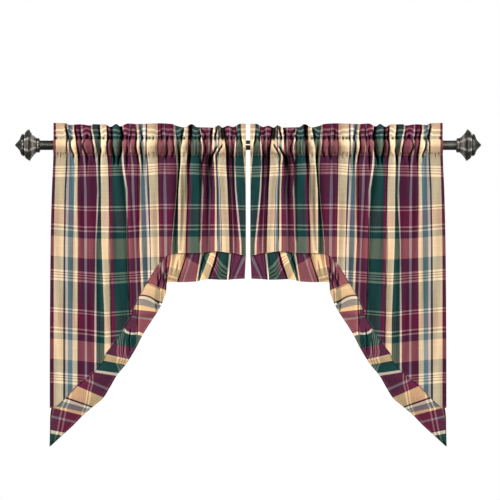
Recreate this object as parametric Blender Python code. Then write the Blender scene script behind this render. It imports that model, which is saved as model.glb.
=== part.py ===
"""A pair of swag and tail drapes with ruffled edges, gathered on a rod with faceted finials.

Metres, +Z up and +Y away from the viewer. The origin is on the rod's axis, midway between the panels.
The two halves mirror each other, so one half is worked out and both are built from it. In a half, "out"
is the distance from the middle, "up" the height above the rod's axis and "back" the distance behind it.
Tables and sizes are in millimetres, and MM turns them into metres as each mesh is made.
"""

import math
from collections import namedtuple

import bmesh
import bpy

MM = 0.001

# Rod and finials
ROD_RADIUS = 14.0
ROD_HALF_LENGTH = 589.2
ROD_SIDES = 24
COLLAR_RADIUS = 21.5
COLLAR_LENGTH = 8.5
COLLAR_SIDES = 24
FACE_GAP = 0.3
FINIAL_SIDES = 8
Turn = namedtuple("Turn", "along flat_radius")  # flat_radius is from the axis to the middle of a flat side
FINIAL = (
    Turn(0.0, 21.0), Turn(4.4, 24.0), Turn(10.0, 29.7), Turn(15.6, 36.2), Turn(20.8, 44.7),
    Turn(28.4, 39.2), Turn(32.8, 34.9), Turn(33.4, 27.0), Turn(35.6, 27.0), Turn(36.0, 31.0),
    Turn(40.0, 30.6), Turn(42.8, 28.4), Turn(45.6, 21.2), Turn(48.4, 14.7), Turn(55.6, 7.2), Turn(61.6, 0.8),
)

# Cloth
LAYER = 2.2  # one layer of cloth, measured front to back
POCKET_TOP = 19.8  # stitch line between the header and the rod pocket
POCKET_FOOT = -28.3  # stitch line that closes the pocket
POCKET_HEM = 8.0  # how far the pocket's turned-in hem reaches below that line
POCKET_EASE = 0.75  # slack between the rod and the cloth where the cloth rests on it
REAR_SLACK = 1.5  # how far the pocket's rear layer stands off the rod between its own crests
CREST = 5.0  # how far the crests stand in front of the middle of the cloth
INNER_EDGE = 6.2
OUTER_EDGE_TOP = 550.4
OUTER_EDGE_LOW = 557.0
OUTER_FLARE_UP = -200.0  # the outer edge has reached OUTER_EDGE_LOW here
SEAM_GAP = 0.4  # between the panel's edge and the ruffle sewn to it

# One row for each fold valley, from the inner edge outwards. Its place and depth are given at the header,
# at the rod and lower down, and half_width is how far its slope reaches to each side.
Fold = namedtuple("Fold", "out_top out_rod out_low deep_top deep_rod deep_low half_width")
FOLDS = (
    Fold(38, 43, 34, 5, 5, 3, 10),
    Fold(67, 60, 49, 8, 10, 8, 13),
    Fold(101, 108, 108, 7, 14, 9, 19),
    Fold(130, 132, 134, 7, 5, 2, 9),
    Fold(163, 165, 171, 12, 13, 6, 13),
    Fold(203, 197, 200, 8, 14, 10, 14),
    Fold(232, 228, 235, 6, 7, 1, 10),
    Fold(257, 256, 256, 5, 4, 2, 11),
    Fold(302, 293, 285, 7, 9, 4, 15),
    Fold(357, 358, 340, 8, 9, 4, 13),
    Fold(385, 384, 374, 8, 8, 1, 11),
    Fold(419, 420, 418, 8, 13, 9, 14),
    Fold(474, 469, 465, 6, 5, 1, 12),
    Fold(511, 501, 490, 7, 6, 1, 12),
)
HEADER_LEVEL = 45.0  # where a fold's out_top and deep_top hold
LOW_LEVEL = -270.0  # where its out_low and deep_low hold
RELEASE_LEVEL = -15.0  # the gathers start to relax below here
FOLD_RELEASE = 40.0  # and have mostly relaxed to their lower depth this far below it
TAIL_LEVEL = -740.0
TAIL_SHARE = 0.4  # share of a fold's lower depth left at the tail
OUTER_COLUMNS = 4  # extra columns between the last fold and the outer edge
EDGE_PASSES = 6  # a column leans a little, so where it meets the lower edge is found in a few passes

# The header's top edge.
Knot = namedtuple("Knot", "out up")
HEADER_TOP = (
    Knot(6, 59.7), Knot(22, 59.7), Knot(43, 50.5), Knot(57, 54.5), Knot(73, 49.0), Knot(83, 55.5),
    Knot(98, 49.0), Knot(144, 50.0), Knot(160, 59.0), Knot(180, 49.2), Knot(204, 54.6), Knot(215, 59.0),
    Knot(249, 61.0), Knot(317, 59.0), Knot(340, 60.5), Knot(362, 52.6), Knot(373, 59.0), Knot(390, 51.0),
    Knot(403, 57.7), Knot(438, 58.3), Knot(446, 55.0), Knot(476, 58.3), Knot(505, 56.3), Knot(516, 61.0),
    Knot(551, 62.0),
)

# One row for each line across the ruffle, from the inner edge to the end of the seam at the tail.
Band = namedtuple("Band", "seam_out seam_up hem_out hem_up hem_back")
RUFFLE = (
    Band(6.2, -309.9, 9.6, -378.1, -4),
    Band(51.2, -305.0, 57.4, -381.2, 3),
    Band(88.0, -300.5, 112.0, -379.2, -5),
    Band(133.3, -305.6, 143.2, -384.3, 2),
    Band(174.6, -305.6, 202.6, -386.3, -4),
    Band(218.2, -307.0, 224.5, -387.0, -8),
    Band(232.0, -315.0, 226.5, -376.0, 2),
    Band(246.5, -328.3, 228.5, -373.0, 6),
    Band(260.6, -346.7, 230.3, -385.0, 3),
    Band(287.2, -390.5, 231.5, -411.8, -5),
    Band(308.8, -427.3, 243.7, -447.1, 1),
    Band(326.0, -465.8, 256.7, -472.6, -5),
    Band(332.5, -486.8, 271.1, -494.4, 1),
    Band(352.3, -519.9, 298.3, -537.7, -6),
    Band(382.3, -564.6, 317.2, -574.5, 2),
    Band(403.6, -591.5, 336.2, -606.5, -5),
    Band(410.6, -611.3, 347.0, -622.6, 1),
    Band(436.0, -641.3, 369.9, -649.8, -5),
    Band(458.7, -660.8, 392.2, -687.7, 2),
    Band(487.0, -682.0, 409.2, -715.0, -5),
    Band(517.0, -716.0, 440.6, -742.0, 0),
    Band(556.4, -743.2, 467.8, -765.5, -3),
)
# Below the seam's end the ruffle hangs on alone and closes to the tail's point.
TAIL = (
    Band(560.1, -776.9, 492.7, -791.3, -1),
    Band(560.6, -810.8, 522.4, -818.7, -2),
    Band(561.8, -853.2, 558.0, -851.0, 0),
)
RUFFLE_ROWS = (0.0, 0.3, 0.65, 1.0)

HEADER_ROWS = (0.0, 0.4, 0.75)  # shares of the way from the top edge to the pocket's upper stitch line
POCKET_ROWS = (14.5, 9.5, 3.5, -3.5, -9.0, -18.0)
PANEL_ROWS = (0.12, 0.28, 0.48, 0.72, 1.0)  # shares of the way from the pocket's hem to the lower edge


def smooth_step(share):
    """0 to 1 with level ends."""
    share = min(max(share, 0.0), 1.0)
    return share * share * (3.0 - 2.0 * share)


def blend(start, end, share):
    return start + (end - start) * share


def follow(table, key, value, place):
    """The value column of a table at a place along its key column, on a smooth curve without overshoot."""
    keys = [getattr(row, key) for row in table]
    values = [getattr(row, value) for row in table]
    place = min(max(place, keys[0]), keys[-1])
    last = len(keys) - 2
    index = next((i for i in range(last + 1) if place <= keys[i + 1]), last)
    rise = [(values[i + 1] - values[i]) / (keys[i + 1] - keys[i]) for i in range(last + 1)]

    def slope(i):
        if i == 0 or i > last or rise[i - 1] * rise[i] <= 0.0:
            return 0.0
        return 2.0 * rise[i - 1] * rise[i] / (rise[i - 1] + rise[i])

    width = keys[index + 1] - keys[index]
    t = (place - keys[index]) / width
    return (
        values[index] * (1 + 2 * t) * (1 - t) ** 2
        + slope(index) * width * t * (1 - t) ** 2
        + values[index + 1] * t * t * (3 - 2 * t)
        + slope(index + 1) * width * t * t * (t - 1)
    )


def fold_place(fold, up):
    """Where a fold's valley runs at this height."""
    if up >= 0.0:
        return blend(fold.out_rod, fold.out_top, smooth_step(up / HEADER_LEVEL))
    return blend(fold.out_rod, fold.out_low, smooth_step(up / LOW_LEVEL))


def fold_depth(fold, up):
    """How deep a fold's valley is at this height."""
    if up >= 0.0:
        return blend(fold.deep_rod, fold.deep_top, smooth_step(up / HEADER_LEVEL))
    below = max(0.0, RELEASE_LEVEL - up)
    depth = blend(fold.deep_low, fold.deep_rod, math.exp(-((below / FOLD_RELEASE) ** 1.3)))
    tail = smooth_step((up - LOW_LEVEL) / (TAIL_LEVEL - LOW_LEVEL))
    return depth * blend(1.0, TAIL_SHARE, tail)


def relief(out, up):
    """How far the cloth lies behind its crests: the sum of the valleys."""
    total = 0.0
    for fold in FOLDS:
        reach = abs(out - fold_place(fold, up)) / fold.half_width
        total += fold_depth(fold, up) * math.exp(-((2.0 * reach) ** 1.5))
    return total


def cloth_back(out, up):
    """The middle of a single layer, front to back."""
    return relief(out, up) - CREST


def pocket_hull(up):
    """Half the width of the space that the rod holds open in the pocket at this height."""
    held = ROD_RADIUS + POCKET_EASE
    seam = POCKET_TOP if up > 0.0 else -POCKET_FOOT
    touch = held * held / seam
    if abs(up) <= touch:
        return math.sqrt(held * held - up * up)
    at_touch = math.sqrt(held * held - touch * touch)
    return at_touch * (seam - abs(up)) / (seam - touch)


def soft_floor(value):
    """The value where it is well above zero, easing to zero below."""
    return math.log1p(math.exp(value))


def pocket_layers(out, up):
    """The middles of the pocket's front and back layers at this height."""
    lift = relief(out, up) - CREST
    near_top = smooth_step((POCKET_TOP - up) / (POCKET_TOP - POCKET_ROWS[0]))
    near_foot = smooth_step((up - POCKET_FOOT) / (POCKET_ROWS[-1] - POCKET_FOOT))
    on_rod = near_top * near_foot
    hull = pocket_hull(up) + LAYER / 2.0
    front = -hull - blend(-lift, soft_floor(-lift), on_rod)
    back = hull + blend(lift, soft_floor(lift + REAR_SLACK), on_rod)
    return front, back


def outer_edge(up):
    return blend(OUTER_EDGE_TOP, OUTER_EDGE_LOW, smooth_step(up / OUTER_FLARE_UP))


def column_places(up):
    """Where each column of the panel's mesh runs at this height: four to a fold, in its valley, on its
    two shoulders and on the crest after it."""
    valleys = [fold_place(fold, up) for fold in FOLDS]
    edges = [INNER_EDGE] + valleys + [outer_edge(up)]
    places = [INNER_EDGE]
    for index, fold in enumerate(FOLDS, start=1):
        before = min(0.7 * fold.half_width, 0.3 * (edges[index] - edges[index - 1]))
        after = min(0.7 * fold.half_width, 0.3 * (edges[index + 1] - edges[index]))
        places += [edges[index] - before, edges[index], edges[index] + after]
        if index < len(FOLDS):
            places.append(0.5 * (edges[index] + edges[index + 1]))
    start = places[-1]
    places += [blend(start, edges[-1], n / OUTER_COLUMNS) for n in range(1, OUTER_COLUMNS + 1)]
    return places


def lower_edge(column):
    """(out, up) of the panel's lower edge on a column."""
    up = LOW_LEVEL
    for _ in range(EDGE_PASSES):
        out = column_places(up)[column]
        up = follow(RUFFLE, "seam_out", "seam_up", out)
    return out, up


def new_object(name, mesh_builder, colour, roughness, metallic, sharp_angle=40.0):
    """One named object with its own material, whose bmesh is in millimetres."""
    builder = bmesh.new()
    mesh_builder(builder)
    bmesh.ops.recalc_face_normals(builder, faces=builder.faces)
    bmesh.ops.scale(builder, vec=(MM, MM, MM), verts=builder.verts)
    mesh = bpy.data.meshes.new(name)
    builder.to_mesh(mesh)
    builder.free()
    mesh.shade_smooth()
    mesh.set_sharp_from_angle(angle=math.radians(sharp_angle))
    material = bpy.data.materials.new(name)
    material.use_nodes = True
    shader = material.node_tree.nodes["Principled BSDF"]
    shader.inputs["Base Color"].default_value = (*colour, 1.0)
    shader.inputs["Roughness"].default_value = roughness
    shader.inputs["Metallic"].default_value = metallic
    mesh.materials.append(material)
    made = bpy.data.objects.new(name, mesh)
    bpy.context.scene.collection.objects.link(made)
    return made


def strip(builder, first, second):
    """Quads between two rows of vertices."""
    for a, b, c, d in zip(first, first[1:], second[1:], second):
        builder.faces.new((a, b, c, d))


def panel(name, side, colour):
    """One gathered panel: a double header, a pocket round the rod and a single layer below, in one piece."""

    def build(builder):
        columns = range(len(column_places(0.0)))

        def vertex(out, back, up):
            return builder.verts.new((side * out, back, up))

        front, rear = [], []

        def add_row(places, thickness):
            rows = [[], []]
            for out, up in places:
                middle = cloth_back(out, up)
                rows[0].append(vertex(out, middle - thickness / 2.0, up))
                rows[1].append(vertex(out, middle + thickness / 2.0, up))
            front.append(rows[0])
            rear.append(rows[1])

        top_places = column_places(HEADER_LEVEL)
        tops = [follow(HEADER_TOP, "out", "up", out) for out in top_places]
        for share in HEADER_ROWS:
            ups = [blend(top, POCKET_TOP, share) for top in tops]
            add_row([(column_places(up)[n], up) for n, up in enumerate(ups)], 2.0 * LAYER)
        add_row([(out, POCKET_TOP) for out in column_places(POCKET_TOP)], 2.0 * LAYER)
        upper_seam = len(front) - 1

        tunnel_front, tunnel_rear = [], []
        for up in POCKET_ROWS:
            rows = [[], [], [], []]
            for out in column_places(up):
                near, far = pocket_layers(out, up)
                faces = (near - LAYER / 2.0, near + LAYER / 2.0, far - LAYER / 2.0, far + LAYER / 2.0)
                for row, back in zip(rows, faces):
                    row.append(vertex(out, back, up))
            front.append(rows[0])
            tunnel_front.append(rows[1])
            tunnel_rear.append(rows[2])
            rear.append(rows[3])
        add_row([(out, POCKET_FOOT) for out in column_places(POCKET_FOOT)], 2.0 * LAYER)
        lower_seam = len(front) - 1

        hem_up = POCKET_FOOT - POCKET_HEM
        add_row([(out, hem_up) for out in column_places(hem_up)], LAYER)
        edge = [lower_edge(n) for n in columns]
        for share in PANEL_ROWS[:-1]:
            ups = [blend(hem_up, edge_up, share) for _, edge_up in edge]
            add_row([(column_places(up)[n], up) for n, up in enumerate(ups)], LAYER)
        add_row(edge, LAYER)

        def seam_row(up):
            return [vertex(out, cloth_back(out, up), up) for out in column_places(up)]

        ceiling, floor = seam_row(POCKET_TOP), seam_row(POCKET_FOOT)
        for rows in (front, rear, [ceiling] + tunnel_front + [floor], [ceiling] + tunnel_rear + [floor]):
            for first, second in zip(rows, rows[1:]):
                strip(builder, first, second)
        strip(builder, front[0], rear[0])
        strip(builder, front[-1], rear[-1])

        for n in (0, -1):
            for row in range(len(front) - 1):
                near = [front[row][n], front[row + 1][n]]
                far = [rear[row + 1][n], rear[row][n]]
                if row + 1 == upper_seam:
                    builder.faces.new((*near, ceiling[n], *far))
                elif row == lower_seam:
                    builder.faces.new((floor[n], *near, *far))
                elif row < upper_seam or row > lower_seam:
                    builder.faces.new((*near, *far))
                else:
                    inner_front = [ceiling[n]] + [line[n] for line in tunnel_front] + [floor[n]]
                    inner_rear = [ceiling[n]] + [line[n] for line in tunnel_rear] + [floor[n]]
                    step = row - upper_seam
                    builder.faces.new((*near, inner_front[step + 1], inner_front[step]))
                    builder.faces.new((*far, inner_rear[step], inner_rear[step + 1]))

    return new_object(name, build, colour, roughness=0.85, metallic=0.0)


def seam_line():
    """(out, up) of the ruffle's sewn edge, SEAM_GAP clear of the panel's edge and then on down the tail."""
    edge = [lower_edge(n) for n in range(len(column_places(0.0)))]
    line = []
    for n, (out, up) in enumerate(edge):
        before, after = edge[max(n - 1, 0)], edge[min(n + 1, len(edge) - 1)]
        run, rise = after[0] - before[0], after[1] - before[1]
        length = math.hypot(run, rise)
        line.append((out + SEAM_GAP * rise / length, up - SEAM_GAP * run / length))
    return line, edge


def ruffle(name, side, colour):
    """The flounce sewn along a panel's lower edge, widening from the seam to a waved hem."""
    line, edge = seam_line()
    stations = []
    for (out, up), (edge_out, edge_up) in zip(line, edge):
        hem = [follow(RUFFLE, "seam_out", column, edge_out) for column in ("hem_out", "hem_up", "hem_back")]
        stations.append((out, up, cloth_back(edge_out, edge_up), *hem))
    last_back = stations[-1][2]
    for band in TAIL:
        stations.append((band.seam_out, band.seam_up, last_back + 1.0, band.hem_out, band.hem_up, band.hem_back))

    def build(builder):
        front, rear = [], []
        for share in RUFFLE_ROWS:
            near, far = [], []
            for out, up, back, hem_out, hem_up, hem_back in stations:
                place = (side * blend(out, hem_out, share), blend(up, hem_up, share))
                middle = blend(back, hem_back, smooth_step(share))
                near.append(builder.verts.new((place[0], middle - LAYER / 2.0, place[1])))
                far.append(builder.verts.new((place[0], middle + LAYER / 2.0, place[1])))
            front.append(near)
            rear.append(far)
        for rows in (front, rear):
            for first, second in zip(rows, rows[1:]):
                strip(builder, first, second)
        strip(builder, front[0], rear[0])
        strip(builder, front[-1], rear[-1])
        for n in (0, -1):
            strip(builder, [row[n] for row in front], [row[n] for row in rear])

    return new_object(name, build, colour, roughness=0.85, metallic=0.0)


def turned(name, start, side, profile, sides, colour):
    """A faceted or round piece on the rod's axis, from rings at their places along it."""
    corner = 1.0 / math.cos(math.pi / sides)

    def build(builder):
        rings = []
        for along, radius in profile:
            ring = []
            for n in range(sides):
                angle = 2.0 * math.pi * (n + 0.5) / sides
                reach = radius * corner
                place = (side * (start + along), reach * math.cos(angle), reach * math.sin(angle))
                ring.append(builder.verts.new(place))
            rings.append(ring)
        for first, second in zip(rings, rings[1:]):
            strip(builder, first + first[:1], second + second[:1])
        builder.faces.new(rings[0])
        builder.faces.new(rings[-1])

    return new_object(name, build, colour, roughness=0.4, metallic=0.8, sharp_angle=20.0)


for leftover in list(bpy.data.objects):
    bpy.data.objects.remove(leftover)

BRONZE = (0.035, 0.032, 0.026)
PLAID = (0.30, 0.20, 0.17)
RUFFLE_PLAID = (0.34, 0.22, 0.18)

turned("rod", -ROD_HALF_LENGTH, 1, ((0.0, ROD_RADIUS), (2.0 * ROD_HALF_LENGTH, ROD_RADIUS)), ROD_SIDES, BRONZE)
for word, direction in (("left", -1), ("right", 1)):
    collar_start = ROD_HALF_LENGTH + FACE_GAP
    finial_start = collar_start + COLLAR_LENGTH + FACE_GAP
    collar = ((0.0, COLLAR_RADIUS), (COLLAR_LENGTH, COLLAR_RADIUS))
    turned(f"collar_{word}", collar_start, direction, collar, COLLAR_SIDES, BRONZE)
    turned(f"finial_{word}", finial_start, direction, FINIAL, FINIAL_SIDES, BRONZE)
    panel(f"panel_{word}", direction, PLAID)
    ruffle(f"ruffle_{word}", direction, RUFFLE_PLAID)
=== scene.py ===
"""A pair of swag and tail drapes with ruffled edges, gathered on a rod with faceted finials, dressed over
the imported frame. Each section's tables and sizes are in millimetres, and MM turns them into metres as a
mesh is made. The halves mirror each other: "out" is the distance from the middle, "up" the height above
the rod's axis and "back" the distance behind it."""
import math
from collections import namedtuple

import bmesh
import bpy
import numpy as np
from mathutils import Matrix, Vector


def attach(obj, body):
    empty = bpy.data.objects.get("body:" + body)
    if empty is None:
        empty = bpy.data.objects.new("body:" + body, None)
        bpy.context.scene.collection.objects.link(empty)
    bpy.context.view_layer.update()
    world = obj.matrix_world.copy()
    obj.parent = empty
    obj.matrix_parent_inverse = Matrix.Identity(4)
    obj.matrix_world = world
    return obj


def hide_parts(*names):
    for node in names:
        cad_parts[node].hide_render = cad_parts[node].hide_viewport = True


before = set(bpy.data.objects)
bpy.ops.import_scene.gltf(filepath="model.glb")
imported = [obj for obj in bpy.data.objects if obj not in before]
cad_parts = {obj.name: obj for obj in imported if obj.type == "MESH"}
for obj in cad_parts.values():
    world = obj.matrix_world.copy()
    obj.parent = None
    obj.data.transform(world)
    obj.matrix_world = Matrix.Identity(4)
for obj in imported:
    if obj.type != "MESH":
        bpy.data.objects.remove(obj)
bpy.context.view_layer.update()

# ---- The rod --------------------
# A round steel tube in dark oil-rubbed bronze. It runs through both panels' pockets and shows between
# them and at the two ends.


class Wire:
    """A value on its way through a material: a node's output, with arithmetic that adds Math nodes."""

    def __init__(self, finish, socket):
        self.finish, self.socket = finish, socket

    def math(self, operation, *others):
        return self.finish.maths(operation, self, *others)

    def __add__(self, other):
        return self.math("ADD", other)

    __radd__ = __add__

    def __mul__(self, other):
        return self.math("MULTIPLY", other)

    __rmul__ = __mul__

    def __sub__(self, other):
        return self.math("SUBTRACT", other)

    def __rsub__(self, other):
        return self.finish.maths("SUBTRACT", other, self)

    def __truediv__(self, other):
        return self.math("DIVIDE", other)

    def __gt__(self, other):
        return self.math("GREATER_THAN", other)

    def limited(self):
        """The value kept between 0 and 1."""
        return self.math("MAXIMUM", 0.0).math("MINIMUM", 1.0)


class Finish:
    """One material and the nodes that mix it."""

    def __init__(self, name, **constants):
        self.material = bpy.data.materials.new(name)
        self.material.use_nodes = True
        self.shader = self.material.node_tree.nodes["Principled BSDF"]
        for socket, value in constants.items():
            self.shader.inputs[socket.replace("_", " ")].default_value = value

    def node(self, kind, settings=None, inputs=None, out=0):
        """Adds a node: its settings first, a ramp's stops among them, then its sockets' values or links."""
        node = self.material.node_tree.nodes.new(kind)
        for name, value in (settings or {}).items():
            if name == "stops":
                ramp = node.color_ramp
                ramp.interpolation = "CONSTANT"
                while len(ramp.elements) > 1:
                    ramp.elements.remove(ramp.elements[-1])
                for number, (place, colour) in enumerate(value):
                    stop = ramp.elements[0] if number == 0 else ramp.elements.new(place)
                    stop.position, stop.color = place, (*colour, 1.0)
            else:
                setattr(node, name, value)
        for socket, value in (inputs or {}).items():
            self.feed(node.inputs[socket], value)
        return Wire(self, node.outputs[out])

    def feed(self, socket, value):
        if isinstance(value, Wire):
            self.material.node_tree.links.new(value.socket, socket)
        else:
            socket.default_value = value

    def maths(self, operation, *values):
        return self.node("ShaderNodeMath", {"operation": operation}, dict(enumerate(values)))

    def mix(self, share, first, second, blend="MIX"):
        """A colour between two, or the first changed by the second in one of Blender's blends."""
        settings = {"data_type": "RGBA", "blend_type": blend}
        return self.node("ShaderNodeMix", settings, {0: share, 6: first, 7: second}, out=2)

    def noise(self, place, scale, detail=2.0):
        return self.node("ShaderNodeTexNoise", {}, {"Vector": place, "Scale": scale, "Detail": detail})

    def object_place(self):
        return self.node("ShaderNodeTexCoord", out=3)

    def attribute(self, name):
        """A point attribute's number."""
        return self.node("ShaderNodeAttribute", {"attribute_name": name}, out=2)

    def parts(self, vector):
        """A vector's three numbers."""
        split = self.node("ShaderNodeSeparateXYZ", {}, {0: vector})
        return [Wire(self, output) for output in split.socket.node.outputs]

    def joined(self, *numbers):
        """A vector from its numbers."""
        return self.node("ShaderNodeCombineXYZ", {}, dict(enumerate(numbers)))

    def bump(self, height, distance):
        inputs = {"Height": height, "Distance": distance, "Strength": 1.0}
        self.set("Normal", self.node("ShaderNodeBump", {}, inputs))

    def set(self, socket, value):
        self.feed(self.shader.inputs[socket], value)


PATCH_SCALE, GRAIN_SCALE = 38.0, 420.0  # of the bronze's patches and of its cast grain, per metre
RUB_START, RUB_CONTRAST = 0.42, 1.6  # where the brown rub begins to thin, and how sharply
EDGE_SHARPNESS = 5.0  # how narrow the pale lines along a finial's cast edges are: wear, and a painted highlight
CAST_DEPTH = 0.0002  # how deep the cast grain is, in metres
DARK_BRONZE = (0.020, 0.019, 0.015, 1.0)
OLIVE_BRONZE = (0.105, 0.100, 0.078, 1.0)
# The pale of bare metal, also used as a painted highlight on the finials' flats and edges.
BARE_AND_HIGHLIT_BRONZE = (0.66, 0.63, 0.57, 1.0)


def bronze(name):
    """Dark oil-rubbed bronze: near black, olive where the oil-rubbed finish thins, and pale where it is worn
    off, which also paints highlights on the finials' flats and cast edges.
    """
    finish = Finish(name, Metallic=0.75, Specular_IOR_Level=0.5, Coat_Weight=0.4, Coat_Roughness=0.08)
    place = finish.object_place()
    broad, fine = finish.noise(place, PATCH_SCALE, 3.0), finish.noise(place, GRAIN_SCALE)
    rubbed = ((broad - RUB_START) * RUB_CONTRAST + (fine - 0.5) * 0.25).limited()
    _, back, up = finish.parts(place)
    flats = finish.maths("ARCTAN2", up, back) * (4.0 / math.pi)  # eighths of a turn; edges lie halfway
    edge = (1.0 - (flats.math("FRACT") - 0.5).math("ABSOLUTE") * EDGE_SHARPNESS).math("MAXIMUM", 0.0)
    edge_wear_and_highlight, speckled = 0.30 + edge * 0.9, 0.35 + fine * 1.3
    # Pale where the per-ring values, the edges and the speckle allow: worn metal, and painted highlights on
    # the finials' flats and cast edges.
    wear_and_painted_highlight = (finish.attribute("rub") * edge_wear_and_highlight * speckled - 0.10).limited()
    finish.set("Base Color", finish.mix(wear_and_painted_highlight, finish.mix(rubbed, DARK_BRONZE, OLIVE_BRONZE), BARE_AND_HIGHLIT_BRONZE))
    finish.set("Roughness", 0.32 + rubbed * 0.22 + fine * 0.08 + wear_and_painted_highlight * 0.25)
    finish.bump(fine + broad * 0.5, CAST_DEPTH)
    return finish.material


def add_object(name, data):
    """Puts a mesh, a curve, a light or the camera in the scene."""
    added = bpy.data.objects.new(name, data)
    bpy.context.scene.collection.objects.link(added)
    return added


def finished_mesh(name, builder):
    mesh = bpy.data.meshes.new(name)
    builder.to_mesh(mesh)
    builder.free()
    return mesh


def place_piece(name, mesh, material, slot, *nodes, smooth_below=40.0):
    """Puts a finished mesh in the scene, rides it on the frame and hides the solids it stands for."""
    mesh.shade_smooth()
    mesh.set_sharp_from_angle(angle=math.radians(smooth_below))
    mesh.materials.clear()
    mesh.materials.append(material)
    piece = add_object(name, mesh)
    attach(piece, "root")
    if nodes:
        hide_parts(*nodes)
    return piece


MM = 0.001  # metres in a millimetre


def turned(name, start, side, profile, sides):
    """A closed mesh turned on the rod's axis, from (along, radius to a flat, wear and painted highlight) at
    each ring.
    """
    builder = bmesh.new()
    turns = [2.0 * math.pi * (n + 0.5) / sides for n in range(sides)]
    rings = []
    for along, radius, _ in profile:
        x, reach = side * (start + along), radius / math.cos(math.pi / sides)
        places = [(x, reach * math.cos(turn), reach * math.sin(turn)) for turn in turns]
        rings.append([builder.verts.new(place) for place in places])
    for first, second in zip(rings, rings[1:]):
        for n in range(sides):
            m = (n + 1) % sides
            builder.faces.new((first[n], first[m], second[m], second[n]))
    for end in (rings[0], rings[-1]):
        builder.faces.new(end)
    bmesh.ops.recalc_face_normals(builder, faces=builder.faces)
    bmesh.ops.scale(builder, vec=(MM, MM, MM), verts=builder.verts)
    mesh = finished_mesh(name, builder)
    wear_and_highlights = [rub for _, _, rub in profile for _ in range(sides)]
    mesh.attributes.new("rub", "FLOAT", "POINT").data.foreach_set("value", wear_and_highlights)
    return mesh


ROD_RADIUS = 14.0
ROD_HALF_LENGTH = 589.2
ROD_BEVEL = 0.8
ROUND = 64  # sides of a round piece
ROD = (
    (0.0, ROD_RADIUS - ROD_BEVEL, 0.0), (ROD_BEVEL, ROD_RADIUS, 0.0),
    (2.0 * ROD_HALF_LENGTH - ROD_BEVEL, ROD_RADIUS, 0.0),
    (2.0 * ROD_HALF_LENGTH, ROD_RADIUS - ROD_BEVEL, 0.0),
)
BRONZE = bronze("bronze")

place_piece("drape_rod", turned("drape_rod", -ROD_HALF_LENGTH, 1, ROD, ROUND), BRONZE, "bronze", "rod")

# ---- Collars and finials --------------------
# Cast pieces pushed on the rod's ends: a round collar with a worn rim, then an eight-sided finial that
# flares to a sharp crest, steps in at a groove and closes to a point.

SIDES = (("left", -1), ("right", 1))
FACE_GAP = 0.3
COLLAR_LENGTH = 8.5
COLLAR = (  # (along, radius, wear and painted highlight)
    (0, 19.6, 0.3), (0.5, 20.6, 0.6), (1.4, 20.9, 0.6), (2, 20.2, 0.1), (2.6, 20.2, 0.1), (3.2, 21.2, 0.7),
    (4.6, 21.5, 0.8), (6.4, 21.2, 0.6), (6.9, 20.3, 0), (7.4, 20.3, 0), (8, 20.9, 0.6), (8.5, 20.4, 0.3),
)
FINIAL = (  # (along, radius to a flat, wear and painted highlight)
    (0, 20.2, 0.3), (0.7, 21, 0.9), (4.4, 24, 1.2), (10, 29.7, 2.5), (15.6, 36.2, 0.5), (19.9, 43, 0.2),
    (20.8, 44.5, 0.4), (21.8, 43.8, 0.3), (28.4, 39.2, 0.4), (32.2, 35.4, 0.9), (32.8, 34.6, 0.7),
    (33.3, 27.4, 0), (33.9, 26.9, 0), (35.3, 26.9, 0), (35.8, 30.3, 0.1), (36.5, 31, 0.3), (39.4, 30.7, 0.1),
    (40.4, 30.2, 0.1), (42.8, 28.2, 0.2), (45.6, 21.2, 0.1), (48.4, 14.9, 0.3), (49.4, 13.7, 0.2),
    (55.6, 7.2, 0.3), (61, 1.4, 0.1), (61.6, 0.7, 0.1),
)
FINIAL_SIDES = 8
EDGE_WIDTH = 0.7  # how wide the cast edges between the flats are rounded


def soften_edges(mesh, width):
    """Rounds the edges between flats, as a casting's are."""
    piece = add_object("casting", mesh)
    bevel = piece.modifiers.new("soft edges", "BEVEL")
    bevel.width, bevel.segments = width * MM, 2
    bevel.limit_method, bevel.angle_limit = "ANGLE", math.radians(30.0)
    made = bpy.data.meshes.new_from_object(piece.evaluated_get(bpy.context.evaluated_depsgraph_get()))
    bpy.data.objects.remove(piece)
    return made


for word, side in SIDES:
    start = ROD_HALF_LENGTH + FACE_GAP
    collar = turned(f"drape_collar_{word}", start, side, COLLAR, ROUND)
    place_piece(f"drape_collar_{word}", collar, BRONZE, "bronze", f"collar_{word}")
    finial = turned(f"drape_finial_{word}", start + COLLAR_LENGTH + FACE_GAP, side, FINIAL, FINIAL_SIDES)
    finial = soften_edges(finial, EDGE_WIDTH)
    place_piece(f"drape_finial_{word}", finial, BRONZE, "bronze", f"finial_{word}", smooth_below=15.0)

# ---- The plaid cotton --------------------
# Homespun cotton, woven from dyed yarn: cream, claret, pine and slate stripes in the warp, crossed by
# cream, claret and pine in the weft, with fine cream lines. Its pattern is read in flat cloth metres.

MIX_POWER = 2.0  # yarns are mixed in colours raised to 1 / MIX_POWER, as the eye sees them at a distance
LIGHTNESS = 0.86
WARP_YARNS = {
    "cream": (252, 226, 184), "claret": (99, 36, 66), "pine": (32, 75, 72), "slate": (110, 139, 149),
    "ink": (50, 66, 78), "mist": (150, 128, 140), "ecru": (229, 211, 196),
}
RUFFLE_YARNS = {  # the strip's yarn colours are set warmer than the panel's, and most of them lighter
    "cream": (250, 211, 158), "claret": (116, 50, 78), "pine": (38, 81, 76), "slate": (135, 140, 138),
    "ink": (58, 56, 56), "mist": (150, 128, 140), "ecru": (255, 238, 212),
}
WEFT_YARNS = {
    "cream": (236, 178, 132), "claret": (80, 6, 26), "pine": (8, 24, 32), "ecru": (255, 226, 190),
    "shade": (36, 4, 12),
}
MARK = 2.83  # millimetres of flat cloth for each unit of a stripe's width
CLOTH_UNIT = MARK * MM
Stripe = namedtuple("Stripe", "width yarn")


def woven(*row):
    """Stripes, from their widths and yarns in turn."""
    return [Stripe(*pair) for pair in zip(row[::2], row[1::2])]


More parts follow.
